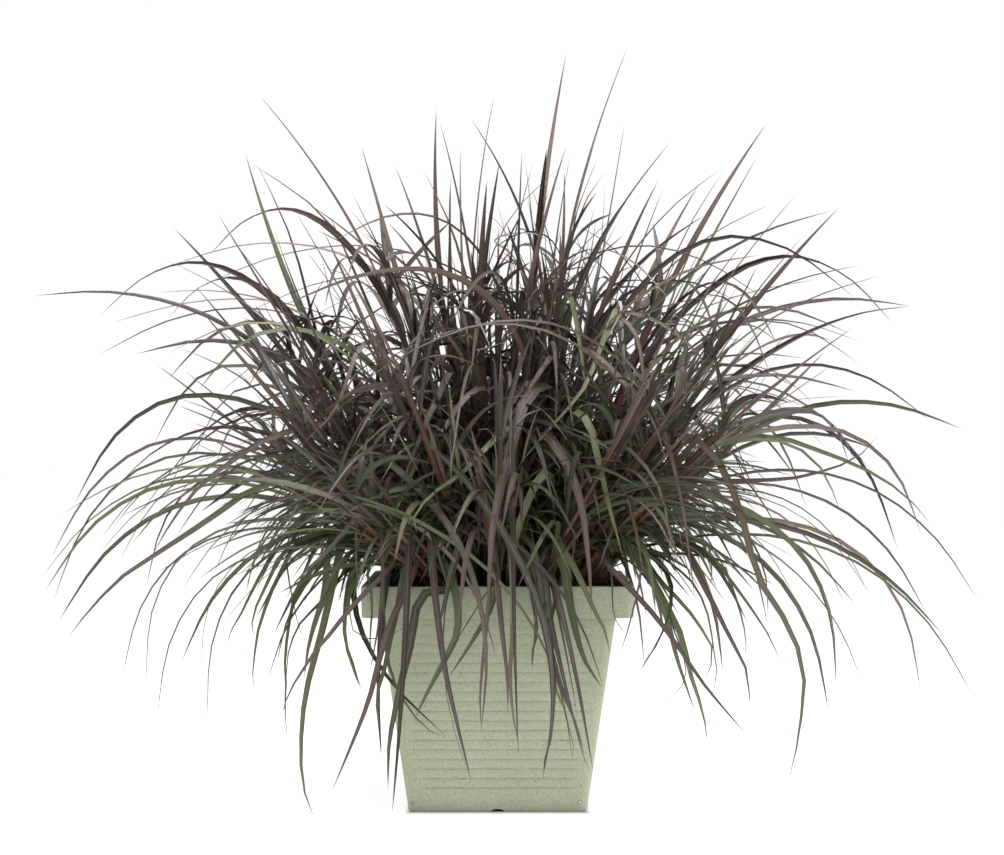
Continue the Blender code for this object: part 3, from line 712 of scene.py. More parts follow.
@dataclass
class Line:
    """The midline of a leaf and the direction of its width.

    Args:
        points: the middle of its root, of each section and its tip.
        across: the direction of its width at each of them.
        half_width: half its greatest width.
    """

    points: list[Vector]
    across: list[Vector]
    half_width: float

    def is_hooked(self) -> bool:
        """Whether it bends over at the top of the clump, where the photograph has only straight ones."""
        top = max(point.z for point in self.points)
        return top > 0.84 and self.points[-1].z < top - 0.008 and abs(self.points[0].x) < 0.22

    def straightened(self, share: float) -> "Line":
        """The same leaf with less bend.

        Args:
            share: how far each point moves towards a straight run.

        Returns:
            The new line.
        """
        root = self.points[0]
        way = (self.points[2] - root).normalized()
        length = sum((two - one).length for one, two in zip(self.points, self.points[1:]))
        rise = max(point.z for point in self.points) - root.z
        fit = min(1.0, rise / (max(0.1, way.z) * length))
        run, moved = 0.0, [root]
        for one, two in zip(self.points, self.points[1:]):
            run += (two - one).length * fit
            moved.append(two.lerp(root + way * run, share))
        return Line(moved, self.across, self.half_width)


class PackedShoot:
    """The lines of one shoot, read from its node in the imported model."""

    LEAF_SECTIONS = 5
    TIP_SLIMNESS = 2.5

    def __init__(self, node: bpy.types.Object) -> None:
        """Reads the node.

        Args:
            node: the shoot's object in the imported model.
        """
        bm = bmesh.new()
        bm.from_mesh(node.data)
        bmesh.ops.remove_doubles(bm, verts=bm.verts, dist=WELD)
        bm.verts.index_update()
        self.name = node.name
        self.places = [vert.co.copy() for vert in bm.verts]
        self.near = [{edge.other_vert(vert).index for edge in vert.link_edges} for vert in bm.verts]
        bm.free()
        walks = [self.walk(tip, set()) for tip in range(len(self.places)) if self.is_tip(tip)]
        leaves = [walk for walk in walks if len(walk) == self.LEAF_SECTIONS + 1]
        grown = {index for walk in leaves for ring in walk[:-1] for index in ring}
        spear = next(walk[0][0] for walk in walks if len(walk) > self.LEAF_SECTIONS + 1)
        whole = self.walk(spear, grown)
        self.spear = self.as_line(whole[: self.LEAF_SECTIONS + 1])
        self.leaves = [self.as_line(walk) for walk in leaves]
        self.stem = [self.middle(ring) for ring in reversed(whole[self.LEAF_SECTIONS:])]

    def is_tip(self, index: int) -> bool:
        """Whether a vertex is the point of a leaf: three long edges from three near corners."""
        corners = [self.places[other] for other in self.near[index]]
        if len(corners) != 3:
            return False
        reach = min((corner - self.places[index]).length for corner in corners)
        girth = max((one - two).length for one in corners for two in corners)
        return reach > self.TIP_SLIMNESS * girth

    def walk(self, tip: int, skip: set[int]) -> list[list[int]]:
        """The rings of three from a tip back towards the stem.

        Args:
            tip: the vertex at the tip.
            skip: vertices that belong to other leaves.

        Returns:
            The tip and then each ring, as vertex numbers.
        """
        rings, seen, ring = [[tip]], {tip} | skip, set(self.near[tip])
        while len(ring) == 3:
            rings.append(sorted(ring))
            seen |= ring
            ring = set.union(*(self.near[index] for index in ring)) - seen
        return rings

    def middle(self, ring: list[int]) -> Vector:
        """The middle of some vertices."""
        return sum((self.places[index] for index in ring), Vector()) / len(ring)

    def wide(self, ring: list[int]) -> tuple[Vector, Vector]:
        """The middle of a section's upper face and half of its width."""
        corners = [self.places[index] for index in ring]
        pairs = [(corners[i], corners[(i + 1) % 3]) for i in range(3)]
        one, two = max(pairs, key=lambda pair: (pair[0] - pair[1]).length)
        return (one + two) / 2, (one - two) / 2

    def as_line(self, walk: list[list[int]]) -> Line:
        """The midline of a walk from a tip to its root.

        Args:
            walk: the rings, tip first.

        Returns:
            The line, root first.
        """
        sections = [self.wide(ring) for ring in reversed(walk[1:-1])]
        halves = [half for _, half in sections]
        for one, two in zip(halves, halves[1:]):
            if one.dot(two) < 0:
                two.negate()
        points = [self.middle(walk[-1])] + [middle for middle, _ in sections] + [self.places[walk[0][0]]]
        across = [halves[0]] + halves + [halves[-1]]
        return Line(points, [half.normalized() for half in across], max(half.length for half in halves))


@dataclass
class Planter:
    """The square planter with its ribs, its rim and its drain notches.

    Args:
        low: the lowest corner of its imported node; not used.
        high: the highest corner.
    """

    low: Vector
    high: Vector
    foot_half: float = 0.126
    shoulder_half: float = 0.1655
    shoulder_height: float = 0.278
    soil_level: float = 0.303
    rim_draft: float = 0.001
    lip: float = 0.0095
    wall: float = 0.005
    floor: float = 0.006
    corner: float = 0.012
    edge: float = 0.0018
    grooves: int = 18
    lowest_groove: float = 0.0343
    groove_pitch: float = 0.01376
    groove_depth: float = 0.0017
    groove_inset: float = 0.019
    groove_fade: float = 0.010
    notch_width: float = 0.019
    notch_height: float = 0.0042
    notch_length: float = 0.046
    side_steps: int = 18
    corner_steps: int = 4
    band_steps: int = 8
    foot_marks: tuple[Vector, Vector] = (Vector((-0.121, -0.1275, 0.0127)), Vector((0.116, -0.1275, 0.0140)))

    def half_at(self, height: float) -> float:
        """Half the planter's width at a height, on the outside."""
        if height > self.shoulder_height:
            return self.high.x
        return self.foot_half + (self.shoulder_half - self.foot_half) * height / self.shoulder_height

    def holds(self, point: Vector, margin: float) -> bool:
        """Whether a point is in the planter's walls or soil, or nearer to them than a margin."""
        reach = max(abs(point.x), abs(point.y))
        if point.z > self.high.z + margin or reach > self.half_at(point.z + margin) + margin:
            return False
        return point.z < self.soil_level or reach > self.high.x - self.lip - 2 * margin

    def is_before(self, point: Vector) -> bool:
        """Whether a point hangs in front of the planter's front, under its rim."""
        return point.y < -self.foot_half and abs(point.x) < self.high.x and point.z < self.high.z

    def outline(self, half: float, radius: float, height: float, dip: float = 0.0) -> list[Vector]:
        """A level ring of the planter, counter-clockwise from above.

        Args:
            half: half its width.
            radius: the radius of its corners.
            height: how high it lies.
            dip: how far its sides are sunk between the corners.

        Returns:
            The ring's points.
        """
        points = []
        straight = half - radius
        for quarter in range(4):
            turn = Matrix.Rotation(quarter * math.pi / 2, 3, "Z")
            for step in range(self.side_steps):
                across = straight * (2 * step / self.side_steps - 1)
                shown = smoothstep(0.0, self.groove_fade, half - self.groove_inset - abs(across))
                points.append(turn @ Vector((half - dip * shown, across, height)))
            for step in range(self.corner_steps):
                angle = step / self.corner_steps * math.pi / 2
                spoke = radius * Vector((math.cos(angle), math.sin(angle), 0.0))
                points.append(turn @ (Vector((straight, straight, height)) + spoke))
        return points

    def band_dip(self, height: float) -> float:
        """How far the side is sunk at a height: sharp grooves with softly rounded bands between."""
        phase = (height - self.lowest_groove) / self.groove_pitch
        if phase < -0.5 or phase > self.grooves - 0.5:
            return 0.0
        apart = abs(phase - round(phase)) * 2
        depth = self.groove_depth * (1.0 - 0.65 * max(0.0, phase) / self.grooves)
        return depth * (1.0 - min(1.0, apart) ** 0.42)

    def rings(self) -> list[list[Vector]]:
        """All the planter's rings, up its outside, over its rim and down its inside."""
        top, half = self.high.z, self.high.x
        found = [
            self.outline(self.foot_half - self.edge, self.corner, 0.0),
            self.outline(self.foot_half - self.edge * 0.3, self.corner, self.edge * 0.3),
            self.outline(self.half_at(self.edge), self.corner, self.edge),
        ]
        for step in range((self.grooves + 1) * self.band_steps + 1):
            height = self.lowest_groove + self.groove_pitch * (step / self.band_steps - 1)
            if height < self.shoulder_height - 0.004:
                found.append(self.outline(self.half_at(height), self.corner, height, self.band_dip(height)))
        inner = half - self.lip
        neck = self.shoulder_height + 0.011
        under = self.shoulder_height - 0.004
        soft = self.edge * 0.3
        found += [
            self.outline(self.shoulder_half - 0.0004, self.corner, self.shoulder_height - 0.001),
            self.outline(self.shoulder_half + 0.0012, self.corner, self.shoulder_height),
            self.outline(half - self.rim_draft - self.edge, self.corner, self.shoulder_height),
            self.outline(half - self.rim_draft - soft, self.corner, self.shoulder_height + soft),
            self.outline(half - self.rim_draft, self.corner, self.shoulder_height + self.edge),
            self.outline(half, self.corner, top - self.edge * 1.6),
            self.outline(half - soft, self.corner, top - soft),
            self.outline(half - self.edge * 1.4, self.corner, top),
            self.outline(inner, self.corner - self.wall, top),
            self.outline(inner - self.edge, self.corner - self.wall, top - self.edge),
            self.outline(inner - self.edge - self.rim_draft, self.corner - self.wall, neck),
            self.outline(self.half_at(under) - self.wall, self.corner - self.wall, under),
            self.outline(self.half_at(self.floor) - self.wall, self.corner - self.wall, self.floor),
        ]
        return found

    def notch_cutter(self) -> bpy.types.Object:
        """The body that cuts the four low oval drain notches under the foot."""
        bm = bmesh.new()
        for quarter in range(4):
            turn = Matrix.Rotation(quarter * math.pi / 2, 4, "Z") @ Matrix.Rotation(math.pi / 2, 4, "X")
            place = turn @ Matrix.Translation((0, 0, self.foot_half + 0.01 - self.notch_length / 2))
            size = Matrix.Diagonal((self.notch_width / 2, self.notch_height, 1.0, 1.0))
            bmesh.ops.create_cone(bm, cap_ends=True, segments=32, radius1=1.0, radius2=1.0,
                                  depth=self.notch_length, matrix=place @ size)
        mesh = bpy.data.meshes.new("notch_cutter")
        bm.to_mesh(mesh)
        bm.free()
        cutter = bpy.data.objects.new("notch_cutter", mesh)
        bpy.context.scene.collection.objects.link(cutter)
        return cutter

    def build(self) -> bpy.types.Object:
        """Builds and dresses the planter.

        Returns:
            The planter's object.
        """
        bm = bmesh.new()
        loft(bm, self.rings())
        piece = add_piece(bm, "planter", [PlanterFinish().make(self)], "pot", 32.0)
        cutter = self.notch_cutter()
        cut = piece.modifiers.new("notches", "BOOLEAN")
        cut.operation = "DIFFERENCE"
        cut.solver = "EXACT"
        cut.object = cutter
        depsgraph = bpy.context.evaluated_depsgraph_get()
        carved = bpy.data.meshes.new_from_object(piece.evaluated_get(depsgraph))
        piece.modifiers.clear()
        piece.data = carved
        carved.name = "planter"
        bpy.data.objects.remove(cutter)
        return piece


@dataclass
class Soil:
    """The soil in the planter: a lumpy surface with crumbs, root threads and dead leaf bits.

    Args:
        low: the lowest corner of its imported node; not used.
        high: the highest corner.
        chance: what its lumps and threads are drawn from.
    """

    low: Vector
    high: Vector
    chance: random.Random
    level: float = 0.303
    mound: float = 0.010
    skirt: float = 0.014
    cells: int = 90
    threads: int = 1100
    crumbs: int = 420

    def height(self, x: float, y: float) -> float:
        """The height of the surface at a place."""
        out = max(abs(x), abs(y)) / self.high.x
        lumps = noise.noise(Vector((x, y, 0.0)) * 40.0) * 0.004
        grit = noise.noise(Vector((x, y, 3.0)) * 150.0) * 0.002
        return self.level + self.mound * math.cos(min(1.0, out) * math.pi / 2) + lumps + grit

    def surface(self) -> bmesh.types.BMesh:
        """The body of the soil's top."""
        bm = bmesh.new()
        half = self.high.x - 0.0005
        bmesh.ops.create_grid(bm, x_segments=self.cells, y_segments=self.cells, size=half)
        for vert in bm.verts:
            vert.co.z = self.height(vert.co.x, vert.co.y)
        rim = [edge for edge in bm.edges if edge.is_boundary]
        wall = bmesh.ops.extrude_edge_only(bm, edges=rim)["geom"]
        for part in wall:
            if isinstance(part, bmesh.types.BMVert):
                part.co.z = self.level - self.skirt
        base = [part for part in wall if isinstance(part, bmesh.types.BMEdge) and part.is_boundary]
        bmesh.ops.edgeloop_fill(bm, edges=base)
        bmesh.ops.recalc_face_normals(bm, faces=bm.faces)
        return bm

    def spot(self, reach: float) -> tuple[float, float]:
        """A place on the surface by chance, within a share of its width."""
        half = reach * self.high.x
        return self.chance.uniform(-half, half), self.chance.uniform(-half, half)

    def heading(self) -> Vector:
        """A level direction by chance."""
        turn = self.chance.uniform(0, 2 * math.pi)
        return Vector((math.cos(turn), math.sin(turn), 0.0))

    def add_crumbs(self, bm: bmesh.types.BMesh) -> None:
        """Scatters crumbs over the surface."""
        for _ in range(self.crumbs):
            x, y = self.spot(0.97)
            size = self.chance.uniform(0.0015, 0.0042)
            axis = Vector([self.chance.gauss(0, 1) for _ in range(3)]).normalized()
            turn = Quaternion(axis, self.chance.uniform(0, 6)).to_matrix().to_4x4()
            squash = Matrix.Diagonal((size, size * self.chance.uniform(0.5, 1.0), size * 0.7, 1.0))
            place = Matrix.Translation((x, y, self.height(x, y) + size * 0.3))
            bmesh.ops.create_icosphere(bm, subdivisions=1, radius=1.0, matrix=place @ turn @ squash)

    def add_thread(self, bm: bmesh.types.BMesh) -> None:
        """Lays one root thread or dead leaf bit on the surface."""
        x, y = self.spot(0.93)
        heading, bend = self.heading(), self.heading()
        length = self.chance.uniform(0.012, 0.060)
        arch = length * self.chance.uniform(0.1, 0.5)
        edge = 0.96 * self.high.x
        points = []
        for number in range(4):
            share = number / 3
            spot = Vector((x, y, 0.0)) + length * (heading * share + bend * 0.5 * share * share)
            spot.x = max(-edge, min(edge, spot.x))
            spot.y = max(-edge, min(edge, spot.y))
            lift = arch * self.chance.uniform(0.5, 1.0) if number in (1, 2) else 0.0005
            points.append(Vector((spot.x, spot.y, self.height(spot.x, spot.y) + lift)))
        steps = THREAD_STRAND.steps
        line = smooth_line(points, steps)
        radius = self.chance.uniform(0.0003, 0.0011)
        tone = self.chance.random()
        rings = [ring_around(line, step, radius * (1 - 0.5 * step / steps), 3) for step in range(steps)]
        laid = THREAD_STRAND.lay(bm, rings, line[-1])
        marks = Marks(bm)
        for vert, _, _ in laid:
            marks.write(vert, 0.0, 0.0, 0.0, tone)

    def build(self) -> list[bpy.types.Object]:
        """Builds and dresses the soil.

        Returns:
            The soil and its threads.
        """
        bm = self.surface()
        self.add_crumbs(bm)
        soil = add_piece(bm, "potting_soil", [SoilFinish().make()], "soil", 60.0)
        bm = bmesh.new()
        Marks(bm)
        for _ in range(self.threads):
            self.add_thread(bm)
        threads = add_piece(bm, "root_threads", [ThreadFinish().make()], None, 80.0)
        return [soil, threads]


class Reach:
    """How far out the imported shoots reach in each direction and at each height."""

    SECTORS = 24
    BAND = 0.08

    def __init__(self, shoots: list[PackedShoot]) -> None:
        """Reads the shoots.

        Args:
            shoots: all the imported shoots.
        """
        self.most: dict[tuple[int, int], float] = {}
        for shoot in shoots:
            for point in shoot.places:
                sector, band = self.cell(point)
                out = math.hypot(point.x, point.y)
                for side in (-1, 0, 1):
                    for rise in (-1, 0, 1):
                        key = ((sector + side) % self.SECTORS, band + rise)
                        self.most[key] = max(self.most.get(key, 0.0), out)

    def cell(self, point: Vector) -> tuple[int, int]:
        """The direction and the height of a point, as whole numbers."""
        turn = math.atan2(point.y, point.x) / (2 * math.pi) * self.SECTORS
        return math.floor(turn) % self.SECTORS, math.floor(point.z / self.BAND)

    def allows(self, point: Vector) -> bool:
        """Whether a packed shoot reaches as far out near a point's direction and height."""
        return math.hypot(point.x, point.y) <= self.most.get(self.cell(point), 0.0)


class Habit(Enum):
    """How a leaf grows; the value is how late along its length it narrows."""

    SPEAR = 1.2
    ARCHING = 2.4
    LOW = 3.2


@dataclass
class Grower:
    """What the leaves' lines, colours and widths are drawn from.

    Args:
        chance: the source of every random number.
        planter: the planter, which no leaf may pass through.
        reach: how far out the leaves may reach.
    """

    chance: random.Random
    planter: Planter
    reach: Reach
    green_below: float = 0.36
    purple_above: float = 0.60
    floor_room: float = 0.012
    widest_leaf: float = 0.0052
    widest_spear: float = 0.0054
    olive_spears: float = 0.14
    before_planter: float = 0.12

    def purple(self, root: Vector, habit: Habit) -> tuple[float, float]:
        """How purple a leaf is at its root and tip, from its place and habit."""
        if habit is Habit.SPEAR and self.chance.random() < self.olive_spears:
            return 0.1, 0.4
        if habit is Habit.SPEAR:
            return 0.6 + 0.4 * smoothstep(0.30, 0.50, root.z), 1.0
        start = smoothstep(self.green_below, self.purple_above, root.z + self.chance.gauss(0, 0.08))
        gain = self.chance.uniform(0.1, 0.8) if habit is Habit.LOW else self.chance.uniform(0.3, 0.9)
        return start, min(1.0, start + gain)

    def tone(self, habit: Habit) -> float:
        """How pale and warm a leaf is."""
        usual = {Habit.SPEAR: 0.62, Habit.ARCHING: 0.42, Habit.LOW: 0.56}[habit]
        return min(1.0, max(0.0, self.chance.gauss(usual, 0.24)))

    def blade(self, line: Line, habit: Habit, strand: Strand = FINE_STRAND) -> Blade:
        """A blade on a line.

        Args:
            line: the line that it follows.
            habit: how it grows.
            strand: the strand that it is made of.

        Returns:
            The blade.
        """
        fold = self.chance.uniform(0.25, 0.6) if habit is Habit.SPEAR else self.chance.uniform(0.12, 0.5)
        widest = self.widest_spear if habit is Habit.SPEAR else self.widest_leaf
        root = line.points[0]
        tone = self.tone(habit)
        # Painted shade: fine leaves rooted near the clump's middle get a darker tone.
        if strand is FINE_STRAND:
            tone *= 0.4 + 0.6 * smoothstep(0.12, 0.28, math.hypot(root.x, root.y))
        return Blade(line.points, line.across, min(line.half_width, widest), fold,
                     self.purple(root, habit), tone, strand, habit.value)

    def is_clear(self, points: list[Vector]) -> bool:
        """Whether a leaf on these points misses the planter and the ground and doesn't reach too far."""
        line = smooth_line(points, 12)
        if min(point.z for point in line) < self.floor_room:
            return False
        if any(self.planter.holds(point, 0.003) for point in line[1:]):
            return False
        if any(self.planter.is_before(point) for point in line) and self.chance.random() > self.before_planter:
            return False
        return all(self.reach.allows(point) for point in line[3:])

    def turned(self, points: list[Vector], side: Vector, twist: float) -> list[Vector]:
        """The direction of a leaf's width at each of its points, turned evenly from side.

        Args:
            points: the leaf's points.
            side: the direction of its width at its root, before it is turned.
            twist: how far it turns by its tip, in radians.

        Returns:
            The directions.
        """
        roll = self.chance.gauss(0, 0.35)
        last = len(points) - 1
        found = []
        for number in range(last + 1):
            forward = (points[min(number + 1, last)] - points[max(0, number - 1)]).normalized()
            found.append(Quaternion(forward, roll + twist * number / last) @ side)
        return found

    def companion(self, line: Line, root: Vector) -> Line | None:
        """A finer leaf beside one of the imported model, or None if no try misses the planter.

        Args:
            line: the leaf that it grows beside.
            root: where it leaves the stem.

        Returns:
            Its line.
        """
        for _ in range(6):
            share = self.chance.uniform(0.6, 0.97)
            tilt = Quaternion(level(line.points[-1] - line.points[0]).cross(UP), self.chance.gauss(0, 0.12))
            turn = Quaternion(UP, self.chance.gauss(0, 0.28)) @ tilt
            sag = self.chance.uniform(-0.02, 0.05)
            points = []
            for number, point in enumerate(line.points):
                along = number / (len(line.points) - 1)
                points.append(root + turn @ (point - line.points[0]) * share - UP * sag * along ** 2)
            if self.is_clear(points):
                across = [turn @ direction for direction in line.across]
                width = line.half_width * self.chance.uniform(0.4, 0.85)
                return Line(points, across, width)
        return None

    def arching(self, root: Vector, start: Vector, heading: Vector, length: float, droop: float,
                half_width: float) -> Line | None:
        """A leaf that rises from a stem and arches over, or None if it would meet something.

        Args:
            root: where it leaves the stem.
            start: the direction in which it leaves.
            heading: the level direction in which it arches over.
            length: its length.
            droop: how far under level its end points, in radians.
            half_width: half its greatest width.

        Returns:
            Its line.
        """
        end = heading * math.cos(droop) - UP * math.sin(droop)
        bend = root + start.normalized() * length * 0.48
        tip = bend + end * length * 0.55
        shares = [number / 4 for number in range(5)]
        points = [(1 - t) ** 2 * root + 2 * t * (1 - t) * bend + t * t * tip for t in shares]
        if not self.is_clear(points):
            return None
        side = heading.cross(UP)
        return Line(points, self.turned(points, side, self.chance.gauss(0, 0.7)), half_width)


@dataclass
class Shoot:
    """One shoot of the grass: its stem in sheaths, its spear, its leaves and its side shoots.

    Args:
        packed: the shoot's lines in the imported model.
        grower: what its small differences are drawn from.
    """

    packed: PackedShoot
    grower: Grower
    stem_radius: float = 0.0060
    stem_top_radius: float = 0.0040
    stem_steps: int = 20
    stem_corners: int = 8
    culm_radius: float = 0.0040
    sheath_blades: int = 1
    companion_chance: float = 0.45
    side_shoots: int = 7
    side_leaves: int = 2
    low_leaves: int = 7
    core_leaves: int = 22
    blades: list[Blade] = field(default_factory=list)
    culms: list[tuple[list[Vector], float]] = field(default_factory=list)

    def build_stem(self, bm: bmesh.types.BMesh) -> None:
        """Grows the stem with the steps that its overlapping sheaths leave."""
        marks = Marks(bm)
        below = self.packed.stem[0] - UP * 0.008
        line = smooth_line([below] + self.packed.stem[1:], self.stem_steps)
        tone = self.grower.chance.random()
        rings = []
        for step in range(len(line)):
            share = step / self.stem_steps
            thick = self.stem_radius + (self.stem_top_radius - self.stem_radius) * share
            sheath = 0.89 + 0.22 * ((share * 4.0) % 1.0)
            rings.append(ring_around(line, step, thick * sheath, self.stem_corners))
        levels = loft(bm, rings, line[-1] + (line[-1] - line[-2]).normalized() * 0.01)
        for face in bm.faces:
            face.material_index = 1
        for step, verts in enumerate(levels):
            for corner, vert in enumerate(verts):
                marks.write(vert, step / self.stem_steps, corner / self.stem_corners * 2 - 1, 0.5, tone)

    def build_culm(self, bm: bmesh.types.BMesh, points: list[Vector], radius: float) -> None:
        """Grows the thin stem of a side shoot.

        Args:
            bm: the shoot's mesh.
            points: the points that it passes, from the soil up.
            radius: its radius at the foot.
        """
        steps = CULM_STRAND.steps
        line = smooth_line(points, steps)
        tone = self.grower.chance.random()
        rings = [ring_around(line, step, radius * (1 - 0.4 * step / steps), 5) for step in range(steps)]
        laid = CULM_STRAND.lay(bm, rings, line[-1])
        marks = Marks(bm)
        for vert, step, corner in laid:
            marks.write(vert, step / steps, corner / 2.5 - 1, 0.5, tone)

    def habit(self, root: Vector) -> Habit:
        """How a leaf grows that leaves its stem at root."""
        return Habit.LOW if root.z < 0.42 else Habit.ARCHING

    def plan_own_leaves(self) -> None:
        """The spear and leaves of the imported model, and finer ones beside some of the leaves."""
        grower, stem = self.grower, self.packed.stem
        self.blades.append(grower.blade(self.packed.spear, Habit.SPEAR, BLADE_STRAND))
        for line in self.packed.leaves:
            if is_front_leaf(line.points[-1]):
                continue
            if line.is_hooked():
                line = line.straightened(0.85)
            habit = self.habit(line.points[0])
            self.blades.append(grower.blade(line, habit, BLADE_STRAND))
            if grower.chance.random() > self.companion_chance:
                continue
            root = line.points[0] + (stem[5] - stem[4]) * grower.chance.uniform(-0.5, 0.5)
            found = grower.companion(line, root)
            if found:
                self.blades.append(grower.blade(found, habit))

    def plan_sheath_blades(self) -> None:
        """Long upright leaves that rise along the stem and open out beside its spear."""
        chance = self.grower.chance
        stem, spear = self.packed.stem, self.packed.spear
        for _ in range(self.sheath_blades):
            start = chance.randrange(0, 5)
            split = chance.uniform(0.35, 0.9)
            way = (spear.points[-1] - stem[start]).normalized()
            away = Vector([chance.gauss(0, 1) for _ in range(3)])
            away = (away - way * away.dot(way)).normalized()
            points = [stem[start] + away * 0.004]
            points += [point + away * 0.007 for point in stem[start + 2:9:2]]
            reach = (spear.points[-1] - spear.points[0]) * split
            drift = away * chance.uniform(0.04, 0.14) * split
            sag = level(way) * chance.uniform(0.0, 0.05) - UP * chance.uniform(0.0, 0.03)
            points.append(spear.points[0] + reach * 0.5 + drift * 0.45)
            points.append(spear.points[0] + reach + drift + sag * split)
            if self.grower.is_clear(points):
                side = away.cross(way).normalized()
                width = spear.half_width * chance.uniform(0.5, 0.85)
                self.blades.append(self.grower.blade(Line(points, [side] * len(points), width), Habit.SPEAR))

    def side_line(self, away: Vector, share: float) -> list[Vector]:
        """The line of a side shoot: the shoot's own, leaning away from it.

        Args:
            away: the level direction in which it leans.
            share: the share of the shoot's length that it has.

        Returns:
            Its points, from the soil up.
        """
        chance = self.grower.chance
        whole = smooth_line(self.packed.stem + self.packed.spear.points[1:], 24)
        foot = chance.uniform(0.005, 0.020)
        spread = chance.uniform(0.02, 0.16)
        points = []
        for number in range(9):
            along = number / 8
            spot = along * share * 24
            base = min(int(spot), 23)
            middle = whole[base].lerp(whole[base + 1], spot - base)
            points.append(middle + away * (foot + spread * (along * share) ** 1.5))
        points[0] = points[0] - UP * 0.010
        return points

    def plan_side_shoot(self) -> None:
        """A thinner shoot beside this one, with its upright leaf and its arching ones."""
        grower, chance = self.grower, self.grower.chance
        turn = chance.uniform(0, 2 * math.pi)
        away = Vector((math.cos(turn), math.sin(turn), 0.0))
        share = chance.uniform(0.42, 0.86)
        points = self.side_line(away, share)
        if any(grower.planter.holds(point, 0.003) for point in points[1:]):
            return
        top = chance.randrange(4, 6)
        self.culms.append((points[: top + 1], self.culm_radius * chance.uniform(0.7, 1.2)))
        width = chance.uniform(0.0025, 0.0046)
        across = grower.turned(points[top:], away.cross(UP), chance.gauss(0, 0.5))
        self.blades.append(grower.blade(Line(points[top:], across, width), Habit.SPEAR))
        for _ in range(self.side_leaves):
            place = chance.randrange(1, top)
            stem = (points[place + 1] - points[place]).normalized()
            heading = level(Vector((chance.gauss(0, 1), chance.gauss(0, 1), 0.0)) * 0.6 + away * 0.5 +
                            level(points[place]) * 0.7)
            length = chance.uniform(0.14, 0.38)
            droop = math.radians(chance.uniform(20, 80))
            line = grower.arching(points[place], stem + heading * chance.uniform(0.2, 0.9), heading, length,
                                  droop, chance.uniform(0.0026, 0.0050))
            if line:
                self.blades.append(grower.blade(line, self.habit(points[place])))

    def plan_low_leaf(self) -> None:
        """A short leaf that leaves the stem near the soil and hangs over the rim."""
        chance, stem = self.grower.chance, self.packed.stem
        root = stem[chance.randrange(1, 4)]
        pull = level(root) * min(1.0, 8 * math.hypot(root.x, root.y))
        heading = level(pull + Vector((chance.gauss(0, 0.6), chance.gauss(0, 0.6), 0.0)))
        start = heading + UP * chance.uniform(0.6, 2.0)
        droop = math.radians(chance.uniform(0, 70))
        line = self.grower.arching(root, start, heading, chance.uniform(0.14, 0.38), droop,
                                   chance.uniform(0.0030, 0.0052))
        if line:
            self.blades.append(self.grower.blade(line, Habit.LOW))

    def plan_core_leaf(self) -> None:
        """A short leaf that stays among the stems, darkened as painted shade of the clump's inside."""
        chance, stem = self.grower.chance, self.packed.stem
        place = chance.randrange(1, len(stem) - 1)
        root = stem[place].lerp(stem[place + 1], chance.random())
        turn = chance.uniform(0, 2 * math.pi)
        heading = Vector((math.cos(turn), math.sin(turn), 0.0))
        start = heading + UP * chance.uniform(1.0, 5.0)
        droop = math.radians(chance.uniform(-60, 60))
        line = self.grower.arching(root, start, heading, chance.uniform(0.08, 0.20), droop,
                                   chance.uniform(0.0030, 0.0052))
        if line:
            blade = self.grower.blade(line, self.habit(root))
            # Painted shade: a low tone darkens the leaf, for the shade inside the clump.
            blade.tone *= 0.2
            self.blades.append(blade)

    def build(self) -> bpy.types.Object:
        """Builds and dresses the shoot.

        Returns:
            The shoot's object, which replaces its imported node.
        """
        self.plan_own_leaves()
        self.plan_sheath_blades()
        for _ in range(self.side_shoots):
            self.plan_side_shoot()
        for _ in range(self.low_leaves):
            self.plan_low_leaf()
        for _ in range(self.core_leaves):
            self.plan_core_leaf()
        bm = bmesh.new()
        self.build_stem(bm)
        for points, radius in self.culms:
            self.build_culm(bm, points, radius)
        for blade in self.blades:
            blade.build(bm)
        name = self.packed.name.replace("tiller", "shoot")
        return add_piece(bm, name, [BLADE_SKIN, SHEATH_SKIN], self.packed.name, 50.0)


BLADE_SKIN = BladeFinish().make()
SHEATH_SKIN = SheathFinish().make()


class FrontLeaf(NamedTuple):
    """A leaf that hangs in front of the clump, placed as the front view shows it.

    Args:
        pixels: the columns and rows that it passes, from where it is first seen to its tip.
        depths: how far behind the planter's middle its first point and its tip lie, in metres.
        half_width: half its greatest width, in metres.
        purple: how purple it is at its root and at its tip.
        tone: how pale and warm it is, or above 1 for a painted highlight.
        turn: how far it is turned about its own run at its start and its tip, in radians.
    """

    pixels: tuple[tuple[float, float], ...]
    depths: tuple[float, float]
    half_width: float
    purple: tuple[float, float]
    tone: float
    turn: tuple[float, float] = (0.0, 0.0)


